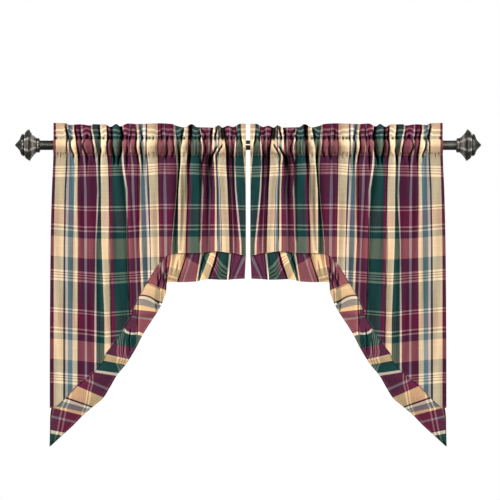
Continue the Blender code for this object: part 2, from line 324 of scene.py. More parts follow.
WARP_EDGE = woven(
    3, "claret", 11.4, "cream", 1.9, "ink", 2.8, "ecru", 5.4, "slate", 5, "cream", 7, "claret", 2.2, "mist",
    11.8, "claret",
)
WARP_REPEAT = woven(
    2.5, "ecru", 9, "pine", 9.7, "cream", 5.5, "claret", 15.5, "pine", 2.5, "ecru", 11.8, "claret",
    2.2, "mist", 7, "claret", 5, "cream", 5.4, "slate", 2.8, "ecru", 1.9, "ink", 11.4, "cream", 7, "claret",
    2.2, "mist", 11.8, "claret",
)
WEFT_START = 0.3509  # where the first repeat starts, in metres below the rod's axis
WEFT_REPEAT = woven(
    1.7, "ecru", 1.5, "shade", 1.1, "ecru", 1.2, "shade", 1.4, "ecru", 1.2, "shade", 2.4, "ecru",
    22.3, "pine", 1.1, "claret", 4, "pine", 1.6, "ecru", 1.7, "shade", 1.1, "ecru", 15, "claret",
    1.7, "ecru", 2.3, "shade", 1.5, "ecru", 6.6, "pine", 20, "cream", 13.6, "pine",
)
WEFT_SHARE, WEAVE_SHARE = 0.25, 0.06  # how much of the face is weft, and how far that swings at each yarn
YARN_PITCH = 0.0011
STREAK, STRETCH = 900.0, 9.0  # a slub's closeness across its yarn and along it, per metre
WARP_SLUB, WEFT_SLUB, BROAD_SLUB = 0.34, 0.22, 0.12  # how much lighter and darker slub makes the cloth
DYE_SPREAD, DYE_SWING = (150.0, 4.0), 0.16  # a yarn's dye is warmer and cooler along its length
WEAVE_DEPTH = 0.00022  # how deep the yarns stand, in metres
# How far the creases' painted shade darkens the cloth's colour at its darkest.
PAINTED_SHADE_STRENGTH = 0.85


def yarn_colour(rgb):
    """A yarn's colour, from screen numbers, in the space that yarns are mixed in."""
    linear = [c / 3294.6 if c <= 10 else ((c / 255.0 + 0.055) / 1.055) ** 2.4 for c in rgb]
    return tuple((value * LIGHTNESS) ** (1.0 / MIX_POWER) for value in linear)


def plaid(name, dyed):
    """The woven cotton, with its stripes, its yarns, a little slub, and painted shade in its creases with
    painted highlights beside them.
    """
    finish = Finish(name, Roughness=0.95, Specular_IOR_Level=0.05)
    cloth = finish.node("ShaderNodeUVMap", {"uv_map": "cloth"})
    across, down, _ = finish.parts(cloth)

    def length(table):
        return sum(stripe.width for stripe in table)

    def stripes(place, table, yarns):
        stops, start = [], 0.0
        for stripe in table:
            stops.append((start / length(table), yarn_colour(yarns[stripe.yarn])))
            start += stripe.width
        return finish.node("ShaderNodeValToRGB", {"stops": stops}, {0: place})

    def slub(across_scale, down_scale, detail=2.0):
        return finish.noise(finish.joined(across * across_scale, down * down_scale), 1.0, detail) - 0.5

    edge_width = CLOTH_UNIT * length(WARP_EDGE)
    past_edge = (across - edge_width) / (CLOTH_UNIT * length(WARP_REPEAT))
    past_start = (down - WEFT_START) / (CLOTH_UNIT * length(WEFT_REPEAT))
    edge = stripes(across / edge_width, WARP_EDGE, dyed)
    warp = finish.mix(across > edge_width, edge, stripes(past_edge.math("FRACT"), WARP_REPEAT, dyed))
    weft = stripes(past_start.math("FRACT"), WEFT_REPEAT, WEFT_YARNS)

    turn = 2.0 * math.pi / YARN_PITCH
    over = (across * turn).math("SINE") * (down * turn).math("SINE")
    face = finish.mix(over * WEAVE_SHARE + WEFT_SHARE, warp, weft)
    warp_slub, weft_slub = slub(STREAK, STRETCH), slub(STRETCH, STREAK)
    broad = finish.noise(cloth, STRETCH) - 0.5
    # Painted shade in the creases' slits and painted highlights on their lips, read from each point, darken
    # and lighten the colour along with the slub.
    hollow = finish.attribute("hollow") * PAINTED_SHADE_STRENGTH
    light = warp_slub * WARP_SLUB + weft_slub * WEFT_SLUB + broad * BROAD_SLUB + 1.0 - hollow
    warmth = slub(*DYE_SPREAD, 1.0) * DYE_SWING
    tint = finish.joined(light * (warmth + 1.0), light, light * (1.0 - warmth))
    tinted = finish.mix(1.0, face, tint, "MULTIPLY")
    finish.set("Base Color", finish.node("ShaderNodeGamma", {}, {0: tinted, 1: MIX_POWER}))
    finish.bump(over * 0.5 + warp_slub * 0.8 + weft_slub * 0.5, WEAVE_DEPTH)
    return finish.material


PLAID = plaid("plaid_cotton", WARP_YARNS)
RUFFLE_PLAID = plaid("ruffle_cotton", RUFFLE_YARNS)

# ---- The panels --------------------
# Each panel is one width of the cotton. Its top is turned down and sewn in two rows, which leave a
# header above and a pocket for the rod below, and the rod gathers it. The lower edge is cut in the swag
# and tail curve.

LAYER = 1.1  # one layer of cloth, measured front to back
SEAT = 2.2  # the solid's layer, which sets how far the cloth's middle stands off the rod
POCKET_TOP, POCKET_FOOT = 19.8, -28.3  # the heights of the upper and lower rows of stitches
POCKET_HEM = 8.0  # how far the turned-down layer runs on below the lower row
POCKET_EASE = 0.75  # the pocket's clearance round the rod
REAR_SLACK = 1.5  # how much fuller the pocket's rear layer is
CREST = 5.0  # how far before the rod's axis the folds' crests stand
PUFF = 1.7  # how much fuller the gathers stand over the rod than the header's
INNER_EDGE = 6.2
OUTER_EDGE_TOP = 550.4
OUTER_EDGE = (  # (up, out)
    (-700.0, 561.0), (-495.0, 560.6), (-277.0, 558.6), (-127.0, 555.0), (-50.0, 551.6), (0.0, OUTER_EDGE_TOP),
    (60.0, OUTER_EDGE_TOP),
)

# The gathers' main valleys: how far out each runs and how deep it is, in the header, over the rod and in
# the fall below, and half its width.
Fold = namedtuple("Fold", "out_top out_rod out_low deep_top deep_rod deep_low half_width")
FOLDS = [Fold(*row) for row in (
    (38, 43, 34, 3, 3, 3, 10),
    (64, 51, 43, 4, 5, 5, 8.5),
    (101, 108, 108, 4, 7, 7, 19),
    (130, 132, 134, 4, 3, 2, 9),
    (163, 165, 171, 7, 6, 5, 13),
    (203, 197, 200, 5, 7, 7, 14),
    (232, 228, 235, 4, 4, 1, 10),
    (257, 256, 256, 3, 3, 2, 11),
    (302, 293, 285, 4, 4, 4, 15),
    (357, 358, 340, 5, 5, 4, 13),
    (385, 384, 374, 5, 4, 1, 11),
    (419, 420, 418, 3, 5, 2.5, 14),
    (474, 469, 465, 4, 3, 1, 12),
    (511, 501, 490, 4, 3, 1, 12),
)]
HEADER_LEVEL, LOW_LEVEL = 45.0, -270.0  # the heights of a fold's places in the header and in the fall
RELEASE_LEVEL, FOLD_RELEASE = -15.0, 40.0  # where its depth begins to relax below the rod, and how slowly
TAIL_LEVEL, TAIL_SHARE = -740.0, 0.4  # and the share of that depth which is left at the tail
FOLD_SHAPE, RELEASE_SHAPE, CREASE_SHAPE = 1.5, 1.3, 1.6  # powers: 2 is a round valley, 1 a sharp one

# Sharp creases, pleats' lips and the gathers' slits. A row's first two numbers say how far it spreads from
# its line, outwards and inwards, in millimetres. Its knots run from the top down as (up, out, deep), with up
# and out in cloth units.
# A crease's depth also sets the painted shade in its slit and the painted highlight on its lips.
Crease = namedtuple("Crease", "outer_side inner_side knots")


def crease_rows(*rows):
    return [Crease(outer_side, inner_side, np.array(knots, float)) for outer_side, inner_side, *knots in rows]


PANEL_CREASES = crease_rows(
    (2.2, 2, (18, 182, 4), (13, 181, 6), (9, 180, 6), (6, 180.2, 3), (0, 180.6, 2), (-7, 180.7, 2),
        (-15, 181, 0)),
    (5, 5, (20, 178.4, 2), (15, 178.6, 3.2), (10, 178, 2.2), (5, 177.4, 2.6), (2, 177.2, 0.5)),
    (2, 1.5, (6, 178, 1), (1, 177.6, 3), (-3, 176.9, 5), (-7, 175.3, 5), (-10, 174.4, 5), (-13, 174.2, 2),
        (-20, 174, 0)),
    (1.6, 3, (19, 173, 3), (13, 172.8, 4), (8, 171.4, 5), (4, 171, 2), (-1, 170.4, 3), (-5, 169.8, 4),
        (-10, 169, 4), (-15, 169.3, 3), (-30, 169.7, 2), (-55, 170, 2), (-105, 170, 1.5), (-155, 170, 1.5)),
    (2, 2, (14, 167.7, 3), (10, 167.4, 4), (6, 166.4, 5), (3, 166.2, 1)),
    (2.5, 1.6, (11, 160.2, 1), (8, 160.4, 5), (5, 163, 3), (1, 164.6, 3), (-2.5, 164.5, 5), (-6, 163.2, 5),
        (-9, 161.4, 5), (-12.5, 160.4, 5), (-18, 160.7, 3), (-30, 161, 2), (-50, 160.5, 1)),
    (1.5, 2, (10, 160.2, 1), (9, 160, 3), (6, 158.2, 3), (3, 156.5, 1)),
    (2.2, 1.5, (14, 157.2, 2), (9, 156.3, 5), (5, 155.7, 2), (-1, 154.4, 3), (-5, 153.7, 4), (-9, 154, 3),
        (-12, 153.4, 3), (-15, 153.2, 1)),
    (2.2, 1.6, (18, 148.7, 3), (12, 148.2, 5), (8, 147.6, 6), (4, 147.4, 3), (-2, 147.3, 3),
        (-6, 146.8, 6), (-10, 147.8, 6), (-14, 148.6, 7), (-20, 148.8, 5), (-40, 148.6, 4),
        (-60, 148.4, 2), (-80, 148, 1)),
    (1.5, 1.2, (-18, 110, 1), (-30, 110, 2.5), (-60, 109.8, 2.5), (-90, 109.7, 2.5), (-105, 109.6, 1)),
    (1.6, 2.8, (17, 140.7, 3), (12, 140.2, 4), (7.5, 139.4, 7), (3.5, 140.4, 4), (-1, 140.7, 3),
        (-5.5, 140.8, 5), (-9.5, 140.4, 3), (-20, 139.2, 2), (-40, 138.6, 2), (-70, 138.4, 3),
        (-105, 138.7, 3), (-140, 137.7, 3), (-175, 137, 3), (-200, 136.7, 2)),
    (2, 2.5, (18, 136, 2), (12, 136.2, 4), (6.5, 136.1, 5), (3.5, 135.7, 4), (-1, 135.7, 3),
        (-6, 135.1, 8), (-10, 134.4, 9), (-13, 133.6, 8), (-16, 133.8, 6), (-21, 134, 2)),
    (3, 2, (20.5, 127.2, 5), (16, 126.2, 8), (11, 125.2, 9), (6.5, 125, 8), (3, 126, 4), (-2, 126, 5),
        (-5.5, 126.4, 9), (-9, 127.2, 9), (-12, 128.4, 8), (-15, 129.2, 6), (-21, 129.5, 2)),
    (2.2, 2, (11, 120.2, 2), (7, 121, 5), (4, 120, 1.5), (-1, 120.5, 2), (-5.5, 120.3, 5), (-9, 121, 5),
        (-14, 121, 5), (-20, 121, 4), (-27, 120.8, 1)),
    (2, 1.6, (-35, 121.1, 1), (-55, 120.6, 2.5), (-85, 120.3, 3), (-115, 119.8, 4), (-135, 119, 6),
        (-150, 118.8, 7), (-173, 118, 6)),
    (2, 2, (18, 117.5, 2), (13, 117, 4), (8.5, 117, 4), (6, 118, 6), (3.5, 117.7, 3), (-2, 117.5, 1)),
    (2.5, 1.5, (18, 111.6, 2), (11, 111.2, 4), (6, 111.5, 7), (2, 111.6, 3), (-4, 111.8, 4),
        (-9, 110.8, 4), (-13.5, 109.7, 5), (-18, 109.5, 1), (-30, 109, 0.5)),
    (1.6, 2.5, (17, 107.2, 2), (11, 106.7, 4), (7, 105.7, 5), (3, 106.8, 2), (-3, 107.1, 4),
        (-6.5, 106.9, 6), (-11, 106, 6), (-17, 105.6, 4), (-30, 105.2, 1)),
    (1.6, 2.5, (17, 101.4, 1.2), (11, 101.6, 2), (6.5, 101.4, 4), (2, 102, 1.8), (-5, 101.8, 2.4),
        (-11, 102.5, 3), (-20, 102.7, 3), (-35, 101.5, 2), (-55, 100, 1.5)),
    (1.6, 3, (21, 89.7, 1), (15, 89.2, 1.2), (8, 89.5, 3), (0, 89.8, 1.4), (-10, 89.7, 1.6),
        (-20, 89.4, 2), (-35, 89.2, 2), (-55, 89, 1.5), (-105, 88.5, 1.5)),
    (2.2, 2, (19, 86.7, 1), (14, 86.5, 3), (9, 86.3, 4), (6, 85.8, 3), (2, 86, 0)),
    (3, 1.6, (9, 79.6, 3), (6, 80.7, 4), (2, 79.8, 1), (-3, 80, 1), (-8, 80.6, 3), (-11.5, 81.8, 5),
        (-15, 82.2, 2), (-25, 82.2, 0)),
    (2.2, 1.6, (8, 75.4, 3), (0, 74, 2), (-5, 73.6, 3), (-10, 75, 4), (-13, 75.5, 0)),
    (2.5, 1.6, (3, 69, 2), (-2, 69.1, 4), (-7, 68.7, 7), (-12, 68.3, 9), (-20, 68.6, 9), (-30, 69.4, 8),
        (-45, 70.4, 7), (-60, 71, 5), (-80, 71.5, 3), (-105, 72, 1)),
    (3, 1.6, (18, 64, 2), (14, 64.7, 3), (10, 66, 5), (7.5, 66.4, 6), (5, 66, 3), (0, 66, 1)),
    (6.5, 6.5, (-16, 66.5, 0.5), (-22, 66, 2.6), (-45, 65.6, 3.2), (-60, 65.6, 3.4), (-75, 65.8, 3.2),
        (-90, 66.8, 2.8), (-105, 68, 2.4)),
    (6, 6, (-16, 62, 0.5), (-22, 61.6, 2.4), (-45, 61.6, 2.8), (-55, 61.8, 1.8), (-65, 62.4, 0.5)),
    (2, 9, (21.5, 57.2, 6), (17, 57.4, 6.5), (12, 57.4, 6.5), (7, 57.4, 6), (3, 57.6, 3), (-2, 58.3, 3.5),
        (-7, 58.7, 4.5), (-11, 59, 6), (-17, 59.2, 4), (-25, 59.4, 2.4), (-40, 59.6, 1.6),
        (-55, 59.8, 1.4), (-80, 60.4, 1.2), (-105, 61.4, 1)),
    (2.5, 1.5, (15, 49.2, 1), (12, 48.2, 3), (9, 47, 5), (6, 48.3, 6), (4, 47.7, 4), (1, 46.2, 2),
        (-5, 46, 1.5)),
    (1.5, 3, (16, 47, 2), (13, 45, 3), (10, 43, 5), (7, 42.7, 5), (4, 44.5, 4), (0, 43, 2), (-7, 42.5, 2),
        (-12, 45, 4), (-17, 45, 2)),
    (3.5, 3.5, (-10, 47.4, 2), (-18, 46.8, 4.5), (-35, 46.2, 5), (-46, 46, 3.4), (-60, 46.2, 2.8),
        (-80, 46.8, 2.6), (-95, 47.6, 2.4)),
    (5, 5, (-14, 36.6, 2), (-25, 36.6, 3), (-45, 36.6, 2.8), (-55, 36.6, 1.6), (-65, 36.6, 0.5)),
    (1.4, 1.4, (4, 55, 1.5), (0, 54.6, 2), (-6, 54.4, 2), (-10, 54.8, 1)),
    (1.4, 1.4, (4, 51.4, 1.5), (-2, 51.6, 2), (-8, 51.4, 2), (-10.5, 51, 0.5)),
    (3, 3, (19, 29.2, 3), (9, 28.6, 3.5), (6.5, 28, 1)),
    (3, 3, (19, 24.6, 3), (9, 24.2, 3), (6.5, 24, 1)),
    (2, 2, (4, 38.1, 1), (-1, 37.8, 3), (-7, 38.2, 3), (-11, 39.2, 1)),
    (2, 2, (1, 42.6, 1), (-4, 42.2, 3), (-8, 42.4, 2), (-11, 42.5, 0)),
    (3, 1.6, (18.5, 35, 3), (15, 35.8, 4), (11, 36.8, 6), (7, 37, 6), (4, 36.6, 4), (-1, 36, 1)),
    (2.2, 2, (17, 30.8, 3), (14, 31.4, 5), (11, 32.4, 7), (7, 33, 7), (5, 32.8, 3), (2, 32, 0)),
    (7.5, 6, (-11, 38, 4), (-17, 39, 4), (-30, 39.8, 2.8), (-45, 39.8, 2.2), (-60, 39.8, 1.6),
        (-80, 39.8, 1.2), (-105, 39.5, 1)),
    (3.5, 1.6, (-1, 30, 1), (-4, 31.7, 5), (-7, 33.4, 7), (-10, 34.8, 8), (-14, 36.7, 7), (-19, 37, 3)),
    (1.6, 2.5, (1, 25.4, 1), (-2, 26.4, 4), (-5, 28.6, 4), (-9, 30.6, 4), (-13, 31.8, 4), (-23, 31.3, 4),
        (-40, 30.7, 4), (-65, 30.2, 3.5), (-95, 30, 2.5)),
    (5, 4, (19, 26.5, 4), (13, 26, 6), (8, 25.4, 6), (5.5, 25.2, 2)),
    (1.4, 8, (15, 23.5, 2), (8, 23.3, 4), (5, 22.8, 3), (0, 22, 3), (-7, 21, 4), (-12, 20.4, 5),
        (-30, 20.2, 5), (-55, 19.4, 4), (-80, 18.4, 3), (-105, 17.6, 1.6)),
    (1.8, 1.5, (-1, 20, 1), (-6, 20, 3), (-9, 20, 2)),
    (7, 3.5, (21, 14, 2), (5, 16.5, 2), (-4, 16, 2), (-8, 15.6, 3.5), (-12, 15, 5), (-25, 14.4, 5.5),
        (-40, 14, 4.5), (-55, 13.2, 3.5), (-80, 12, 2.4), (-105, 10.5, 1.6)),
    (2, 1.6, (3, 15, 1), (-2, 14.5, 3), (-6, 14.4, 3), (-10, 15, 1)),
    (2.5, 2, (17, 11.2, 2), (12, 11.7, 5), (6.5, 10.7, 6), (4, 11, 2)),
    (2.5, 1.5, (14, 7.4, 1), (9, 7.1, 3), (5, 7, 5), (1.5, 5.8, 4), (-2, 5, 1)),
)
CREASE_END = 3.0  # how far a crease runs on past its last knot, in cloth units
PAINTED_SHADE_REACH, PAINTED_SHADE_FROM, PAINTED_SHADE_SPAN = 3.0, 0.8, 5.0  # how a crease's depth turns into painted shade, in millimetres
LONG_SLOPE = 8.0  # a side that spreads this far is a slope, with painted shade only near its line
PAINTED_HIGHLIGHT_SHARE, PAINTED_HIGHLIGHT_REACH, PAINTED_HIGHLIGHT_LIMIT = 0.6, 2.3, -0.25  # and the painted highlight on the lips beside it
GATHERED_BELOW, GATHERED_EASE = -75.0, 40.0  # near the rod the gathers press together
PAINTED_SHADE_WIDER, PAINTED_SHADE_DARKER = 0.45, 0.5  # and their painted shade is wider and darker
PINCH_DEPTH, PINCH_WIDTH, PINCH_HEIGHT = 4.0, 2.3, 3.2
PINCH_PAINTED_SHADE = 2.2  # how much more painted shade a pinch gets than a crease as deep
# Where the cloth is pinched under each row of stitches: the row's height, and places out, in cloth units.
PINCHES = {
    6.6: (
        191.8, 180, 176, 171, 166.4, 160, 156.4, 149.5, 144.5, 139.4, 137.4, 136, 127.5, 125, 121, 118,
        111.5, 105.6, 101.4, 98.2, 94.8, 89.4, 85.8, 80.7, 75.4, 70, 66.4, 63.7, 59, 52.5, 48.3, 44.8,
        42.7, 36.8, 33, 29.5, 25.4, 23, 20.3, 16.5, 10.6, 7.1,
    ),
    -11.2: (
        187, 174.4, 169.2, 161, 153.7, 148.4, 144.5, 139.7, 133.5, 129, 121, 115, 109.8, 106, 102.4, 98,
        93, 89.5, 81.8, 75, 68.4, 64, 58.4, 53, 49.5, 45.2, 41, 36.7, 32, 27, 21.4, 17, 11.4, 6,
    ),
}

HEADER_TOP = (  # (out, up)
    (6, 59.7), (22, 59.7), (43, 50.5), (57, 54.5), (73, 49), (83, 55.5), (98, 49), (144, 50), (160, 59),
    (180, 49.2), (204, 54.6), (215, 59), (249, 61), (317, 59), (340, 60.5), (362, 52.6), (373, 59),
    (390, 51), (403, 57.7), (438, 58.3), (446, 55), (476, 58.3), (505, 56.3), (516, 61), (551, 62),
)

# Where the warp stripes' borders run once the cloth is gathered: flat is the border's place across the
# flat cloth, in CLOTH_UNIT, and the rest how far out it lies at each level below.
BORDER_LEVELS = (42.5, -8.5, -56.6, -127.0, -277.0, -495.0)
Border = namedtuple("Border", "flat header pocket foot fall middle tail")
BORDERS = [Border(*row) for row in (
    (0, 551, 550, 552, 554, 558, 560),
    (3, 544, 543, 545, 547, 550, 550),
    (14.4, 516, 513, 516, 519, 522, 523),
    (16.3, 514, 511, 511, 515, 517, 517),
    (19.1, 510, 505, 505, 507, 510, 510),
    (24.5, 496, 501, 491, 492, 495, 497),
    (29.5, 492, 484, 481, 482, 481, 483),
    (36.5, 473, 470, 465, 464, 464, 462),
    (38.7, 469, 466, 460, 457, 456, 456),
    (50.5, 444, 435, 429.5, 427, 432, 434.5),
    (53, 441, 429, 422.5, 421.5, 429.5, 429.5),
    (62, 420, 417, 418, 417, 416, 407),
    (71.7, 400, 400, 396, 394, 391, 389),
    (77.2, 389, 386, 386, 385, 382, 376),
    (92.7, 355, 357, 358, 346.5, 344, 336),
    (95.2, 354, 355, 352, 341.5, 341, 334),
    (107, 336, 334, 330, 330, 322, 314),
    (109.2, 332, 331, 324, 322, 317, 309),
    (116.2, 318, 314, 306, 306, 307, 300),
    (121.2, 310, 307, 302.5, 302.5, 301.5, 292),
    (126.6, 299, 297, 295, 293, 287.5, 280),
    (129.4, 290, 290, 288, 286, 279, 275),
    (131.3, 286, 287, 283, 279, 276, 272),
    (142.7, 257, 257, 256, 255, 252, 252),
    (149.7, 239, 238, 239, 241, 239, 239),
    (151.9, 235, 233, 234, 232, 229, 229),
    (163.7, 211, 207, 202, 203, 216, 216),
    (166.2, 206, 201, 197, 201, 215, 215),
    (175.2, 181, 190, 192, 198, 199, 199),
    (184.9, 170, 170, 175, 172, 177, 177),
    (190.4, 160, 161, 164, 161, 169, 169),
    (205.9, 136, 134, 136, 133, 137, 137),
    (208.4, 134, 128, 133, 127, 133, 133),
    (220.2, 112, 113, 116, 112, 114, 114),
    (222.4, 108, 108, 111, 106, 110, 110),
    (229.4, 99, 101, 96, 93.5, 94.5, 94.5),
    (234.4, 94, 96, 90, 87.5, 87.5, 88),
    (239.8, 88, 90, 87, 81.5, 79, 80),
    (244.5, 82, 81, 86, 78, 74, 74),
    (255.9, 70, 64, 63, 58, 53, 53),
    (263, 53, 53, 56, 48, 43, 43),
    (276.9, 33, 38, 41.5, 37.5, 24, 22),
    (279.4, 31, 36, 37.5, 33.5, 19, 17),
    (288.4, 21, 15, 11, 7, 6, 6),
    (298.1, 6, 6, 6, 2, -3, -3),
)]
# How far the weft's lines dip below level, at three heights.
SAG_LEVELS = (-62.0, -229.0, -467.0)
Dip = namedtuple("Dip", "out high middle low")
DIPS = [Dip(*row) for row in (
    (6, 1, 4, 4), (65, -2, 1.5, 2), (159, -7.5, 3, 3), (249, -8.5, 2.5, 3), (292, -4, 4, 5),
    (348, -5, 8.5, 9), (405, -3, 8.5, 14), (462, -2, 8, 7), (546, 0, 0, 0),
)]

# One row for each line across the ruffle, from the inner edge outwards. seam_flat and hem_flat are the
# line's place along the strip's warp stripes, seam_weft and hem_weft its place down the weft's, and bend
# how far the stripes there bow towards the tail.
Band = namedtuple(
    "Band", "seam_out seam_up hem_out hem_up hem_back seam_flat hem_flat seam_weft hem_weft bend",
    defaults=(0.0,),
)
INNER_BANDS = [Band(*row) for row in (
    (6.2, -314.5, 9.6, -378.1, -4, 335.2, 341.8, 304, 281),
    (13, -312.5, 40, -379.5, 2, 334.5, 334.5, 303, 281),
    (47.8, -305.2, 54.9, -381, 0, 321.6, 321.6, 300, 280.5),
    (54, -305, 60, -381.4, 3, 319.1, 319.1, 292.5, 270.9),
    (72, -302.2, 80, -381, -2, 309.7, 309, 286.9, 269.2),
    (80.7, -301.4, 92, -380.4, -3.5, 303.6, 303.6, 285.3, 265.3),
    (88.6, -300.5, 113, -379.4, -5, 298.1, 298.1, 283.8, 257.8),
    (106, -301.5, 137.6, -383.8, -1, 288.4, 288.4, 282.8, 245.5),
    (132.5, -305.6, 145.6, -386, 2, 278, 278.2, 268, 239),
    (155.9, -305.8, 184.5, -388, 1, 264, 264, 262, 237),
    (172, -305.6, 198, -387.8, -3, 257, 257, 258.5, 235.4),
    (176, -305.6, 204.6, -387.6, -4, 255, 255, 252, 225),
    (218.2, -307, 228.5, -387.4, -8, 244.8, 245.6, 246.6, 223),
)]
TAIL_BANDS = [Band(*row) for row in (
    (214, -307, 222, -382, -1, 279, 277, 353, 325),
    (232, -315, 226.5, -379, 3, 270, 270, 353, 325),
    (246.5, -328.3, 229, -385, 6, 264.2, 264.2, 353, 325),
    (260.6, -346.7, 230.3, -392, 3, 261.8, 261.8, 353, 325),
    (287.2, -390.5, 231.5, -411.8, -5, 255.9, 255.9, 352, 324),
    (308.8, -427.3, 243.7, -447.1, 1, 243.5, 243.5, 357, 330, -2.2),
    (326, -465.8, 256.7, -472.6, -5, 229.4, 229.4, 363, 338),
    (332.5, -486.8, 271.1, -494.4, 1, 221.3, 221.3, 366, 343),
    (352.3, -519.9, 298.3, -537.7, -6, 207.2, 207.2, 372, 352, 3.2),
    (382.3, -564.6, 317.2, -574.5, 2, 190.4, 190.4, 390, 358),
    (403.6, -591.5, 336.2, -606.5, -5, 184.9, 184.9, 396, 371),
    (410.6, -611.3, 347, -622.6, 1, 175.2, 175.2, 397, 372),
    (436, -641.3, 369.9, -649.8, -5, 164.9, 164.9, 410, 386),
    (458.7, -660.8, 392.2, -687.7, 2, 152.5, 152.5, 419, 393),
    (487, -682, 409.2, -715, -5, 142.7, 142.7, 427, 397),
    (517, -716, 440.6, -742, 0, 130.4, 130.4, 435.5, 406.5),
    (556.4, -743.2, 467.8, -765.5, -3, 116.2, 116.2, 445, 413),
    (560.1, -776.9, 492.7, -791.3, -1, 105, 105.5, 443.5, 420),
    (560.6, -810.8, 522.4, -818.7, -2, 94, 94, 441.5, 428),
    (561.8, -853.2, 558, -851, 0, 84, 84, 438, 437),
)]
SEWN_ROWS = -3  # the last rows of TAIL_BANDS, past the end of the panel's edge

WEFT_AT_FOOT = (59.4, 20.9)  # the first fine line below the rod, and the weft's place at the lower stitches
WEFT_OVER_ROD = (  # (up, down the flat cloth)
    (-28.3, 20.9), (17.0, -35.7), (25.5, -53.0), (36.0, -61.0), (47.0, -69.9), (62.0, -87.0),
)
HEADER_WAVES = ((56.0, 0.6, 2.2), (27.0, 2.0, 1.5))  # the header's fine lines waver: length, phase, height
HEADER_EASE = 12.0  # how far above the stitches the wavering has grown whole


def smooth_step(share):
    """0 to 1 with level ends."""
    share = np.clip(share, 0.0, 1.0)
    return share * share * (3.0 - 2.0 * share)


def blend(start, end, share):
    return start + (end - start) * share


def bell(distance, reach, shape=2.0):
    """1 at no distance, falling off to 0 past the reach."""
    return np.exp(-(np.abs(distance / reach) ** shape))


def waves(table, place):
    """The sum of a table's waves: wavelength, phase and height."""
    return sum(high * np.sin(2.0 * math.pi * place / long + turn) for long, turn, high in table)


def follow(keys, values, place):
    """A smooth curve without overshoot through a table's points, read at each place."""
    keys, values = np.array(keys, float), np.array(values, float)
    rise = np.diff(values) / np.diff(keys)
    slope = np.zeros(len(keys))
    same = rise[:-1] * rise[1:] > 0.0
    total = np.where(same, rise[:-1] + rise[1:], 1.0)
    slope[1:-1] = np.where(same, 2.0 * rise[:-1] * rise[1:] / total, 0.0)
    place = np.clip(place, keys[0], keys[-1])
    i = np.clip(np.searchsorted(keys, place, side="left") - 1, 0, len(keys) - 2)
    width = keys[i + 1] - keys[i]
    t = (place - keys[i]) / width
    return (
        values[i] * (1 + 2 * t) * (1 - t) ** 2
        + slope[i] * width * t * (1 - t) ** 2
        + values[i + 1] * t * t * (3 - 2 * t)
        + slope[i + 1] * width * t * t * (t - 1)
    )


def fold_place(fold, up):
    """Where a fold's valley runs at these heights."""
    above = blend(fold.out_rod, fold.out_top, smooth_step(up / HEADER_LEVEL))
    below = blend(fold.out_rod, fold.out_low, smooth_step(up / LOW_LEVEL))
    return np.where(up >= 0.0, above, below)


def fold_depth(fold, up):
    """How deep a fold's valley is at these heights."""
    above = blend(fold.deep_rod, fold.deep_top, smooth_step(up / HEADER_LEVEL))
    below = np.maximum(0.0, RELEASE_LEVEL - up)
    relaxed = blend(fold.deep_low, fold.deep_rod, bell(below, FOLD_RELEASE, RELEASE_SHAPE))
    tail = smooth_step((up - LOW_LEVEL) / (TAIL_LEVEL - LOW_LEVEL))
    return np.where(up >= 0.0, above, relaxed * blend(1.0, TAIL_SHARE, tail))


def flat_across(out, up):
    """The place across the flat cloth, in CLOTH_UNIT, of the gathered cloth at these points."""
    places = np.array([border[1:] for border in BORDERS], float)
    level = np.interp(-up, [-l for l in BORDER_LEVELS], range(len(BORDER_LEVELS)))
    low = np.clip(np.floor(level).astype(int), 0, len(BORDER_LEVELS) - 2)
    share = level - low
    total = np.full(out.shape, float(BORDERS[0].flat))
    edges = [places[n][low] * (1.0 - share) + places[n][low + 1] * share for n in range(len(BORDERS))]
    for n in range(len(BORDERS) - 1):
        width = np.maximum(edges[n] - edges[n + 1], 0.1)
        total += (BORDERS[n + 1].flat - BORDERS[n].flat) * np.clip((edges[n] - out) / width, 0.0, 1.0)
    return total


def flat_down(out, up):
    """The place down the flat cloth, in millimetres below the rod's axis, of the cloth at these points."""
    outs = [dip.out for dip in DIPS]
    high, middle, low = (np.interp(out, outs, [dip[n] for dip in DIPS]) for n in (1, 2, 3))
    first = smooth_step((up - SAG_LEVELS[0]) / (SAG_LEVELS[1] - SAG_LEVELS[0]))
    second = smooth_step((up - SAG_LEVELS[1]) / (SAG_LEVELS[2] - SAG_LEVELS[1]))
    sag = blend(blend(high, middle, first), low, second)
    first_up = -WEFT_AT_FOOT[0] - sag
    eased = np.interp(np.clip((up - first_up) / (POCKET_FOOT - first_up), 0.0, 1.0), (0.0, 1.0), WEFT_AT_FOOT)
    wavering = waves(HEADER_WAVES, out) * smooth_step((up - POCKET_TOP) / HEADER_EASE)
    over_rod = np.interp(up, *zip(*WEFT_OVER_ROD)) + wavering
    return np.where(up > POCKET_FOOT, over_rod, np.where(up > first_up, eased, -up - sag))


PUCKERS = ((4.3, 0.0, 0.6), (2.9, 1.3, 0.5), (6.7, 2.1, 0.4))  # wavelength in CLOTH_UNIT, phase, height
PUCKER_REACH = 7.0  # how far above and below a row of stitches they go


def puckers(flat, up):
    """Small gathers on both sides of the two rows of stitches."""
    return waves(PUCKERS, flat) * (bell(up - POCKET_TOP, PUCKER_REACH) + bell(up - POCKET_FOOT, PUCKER_REACH))


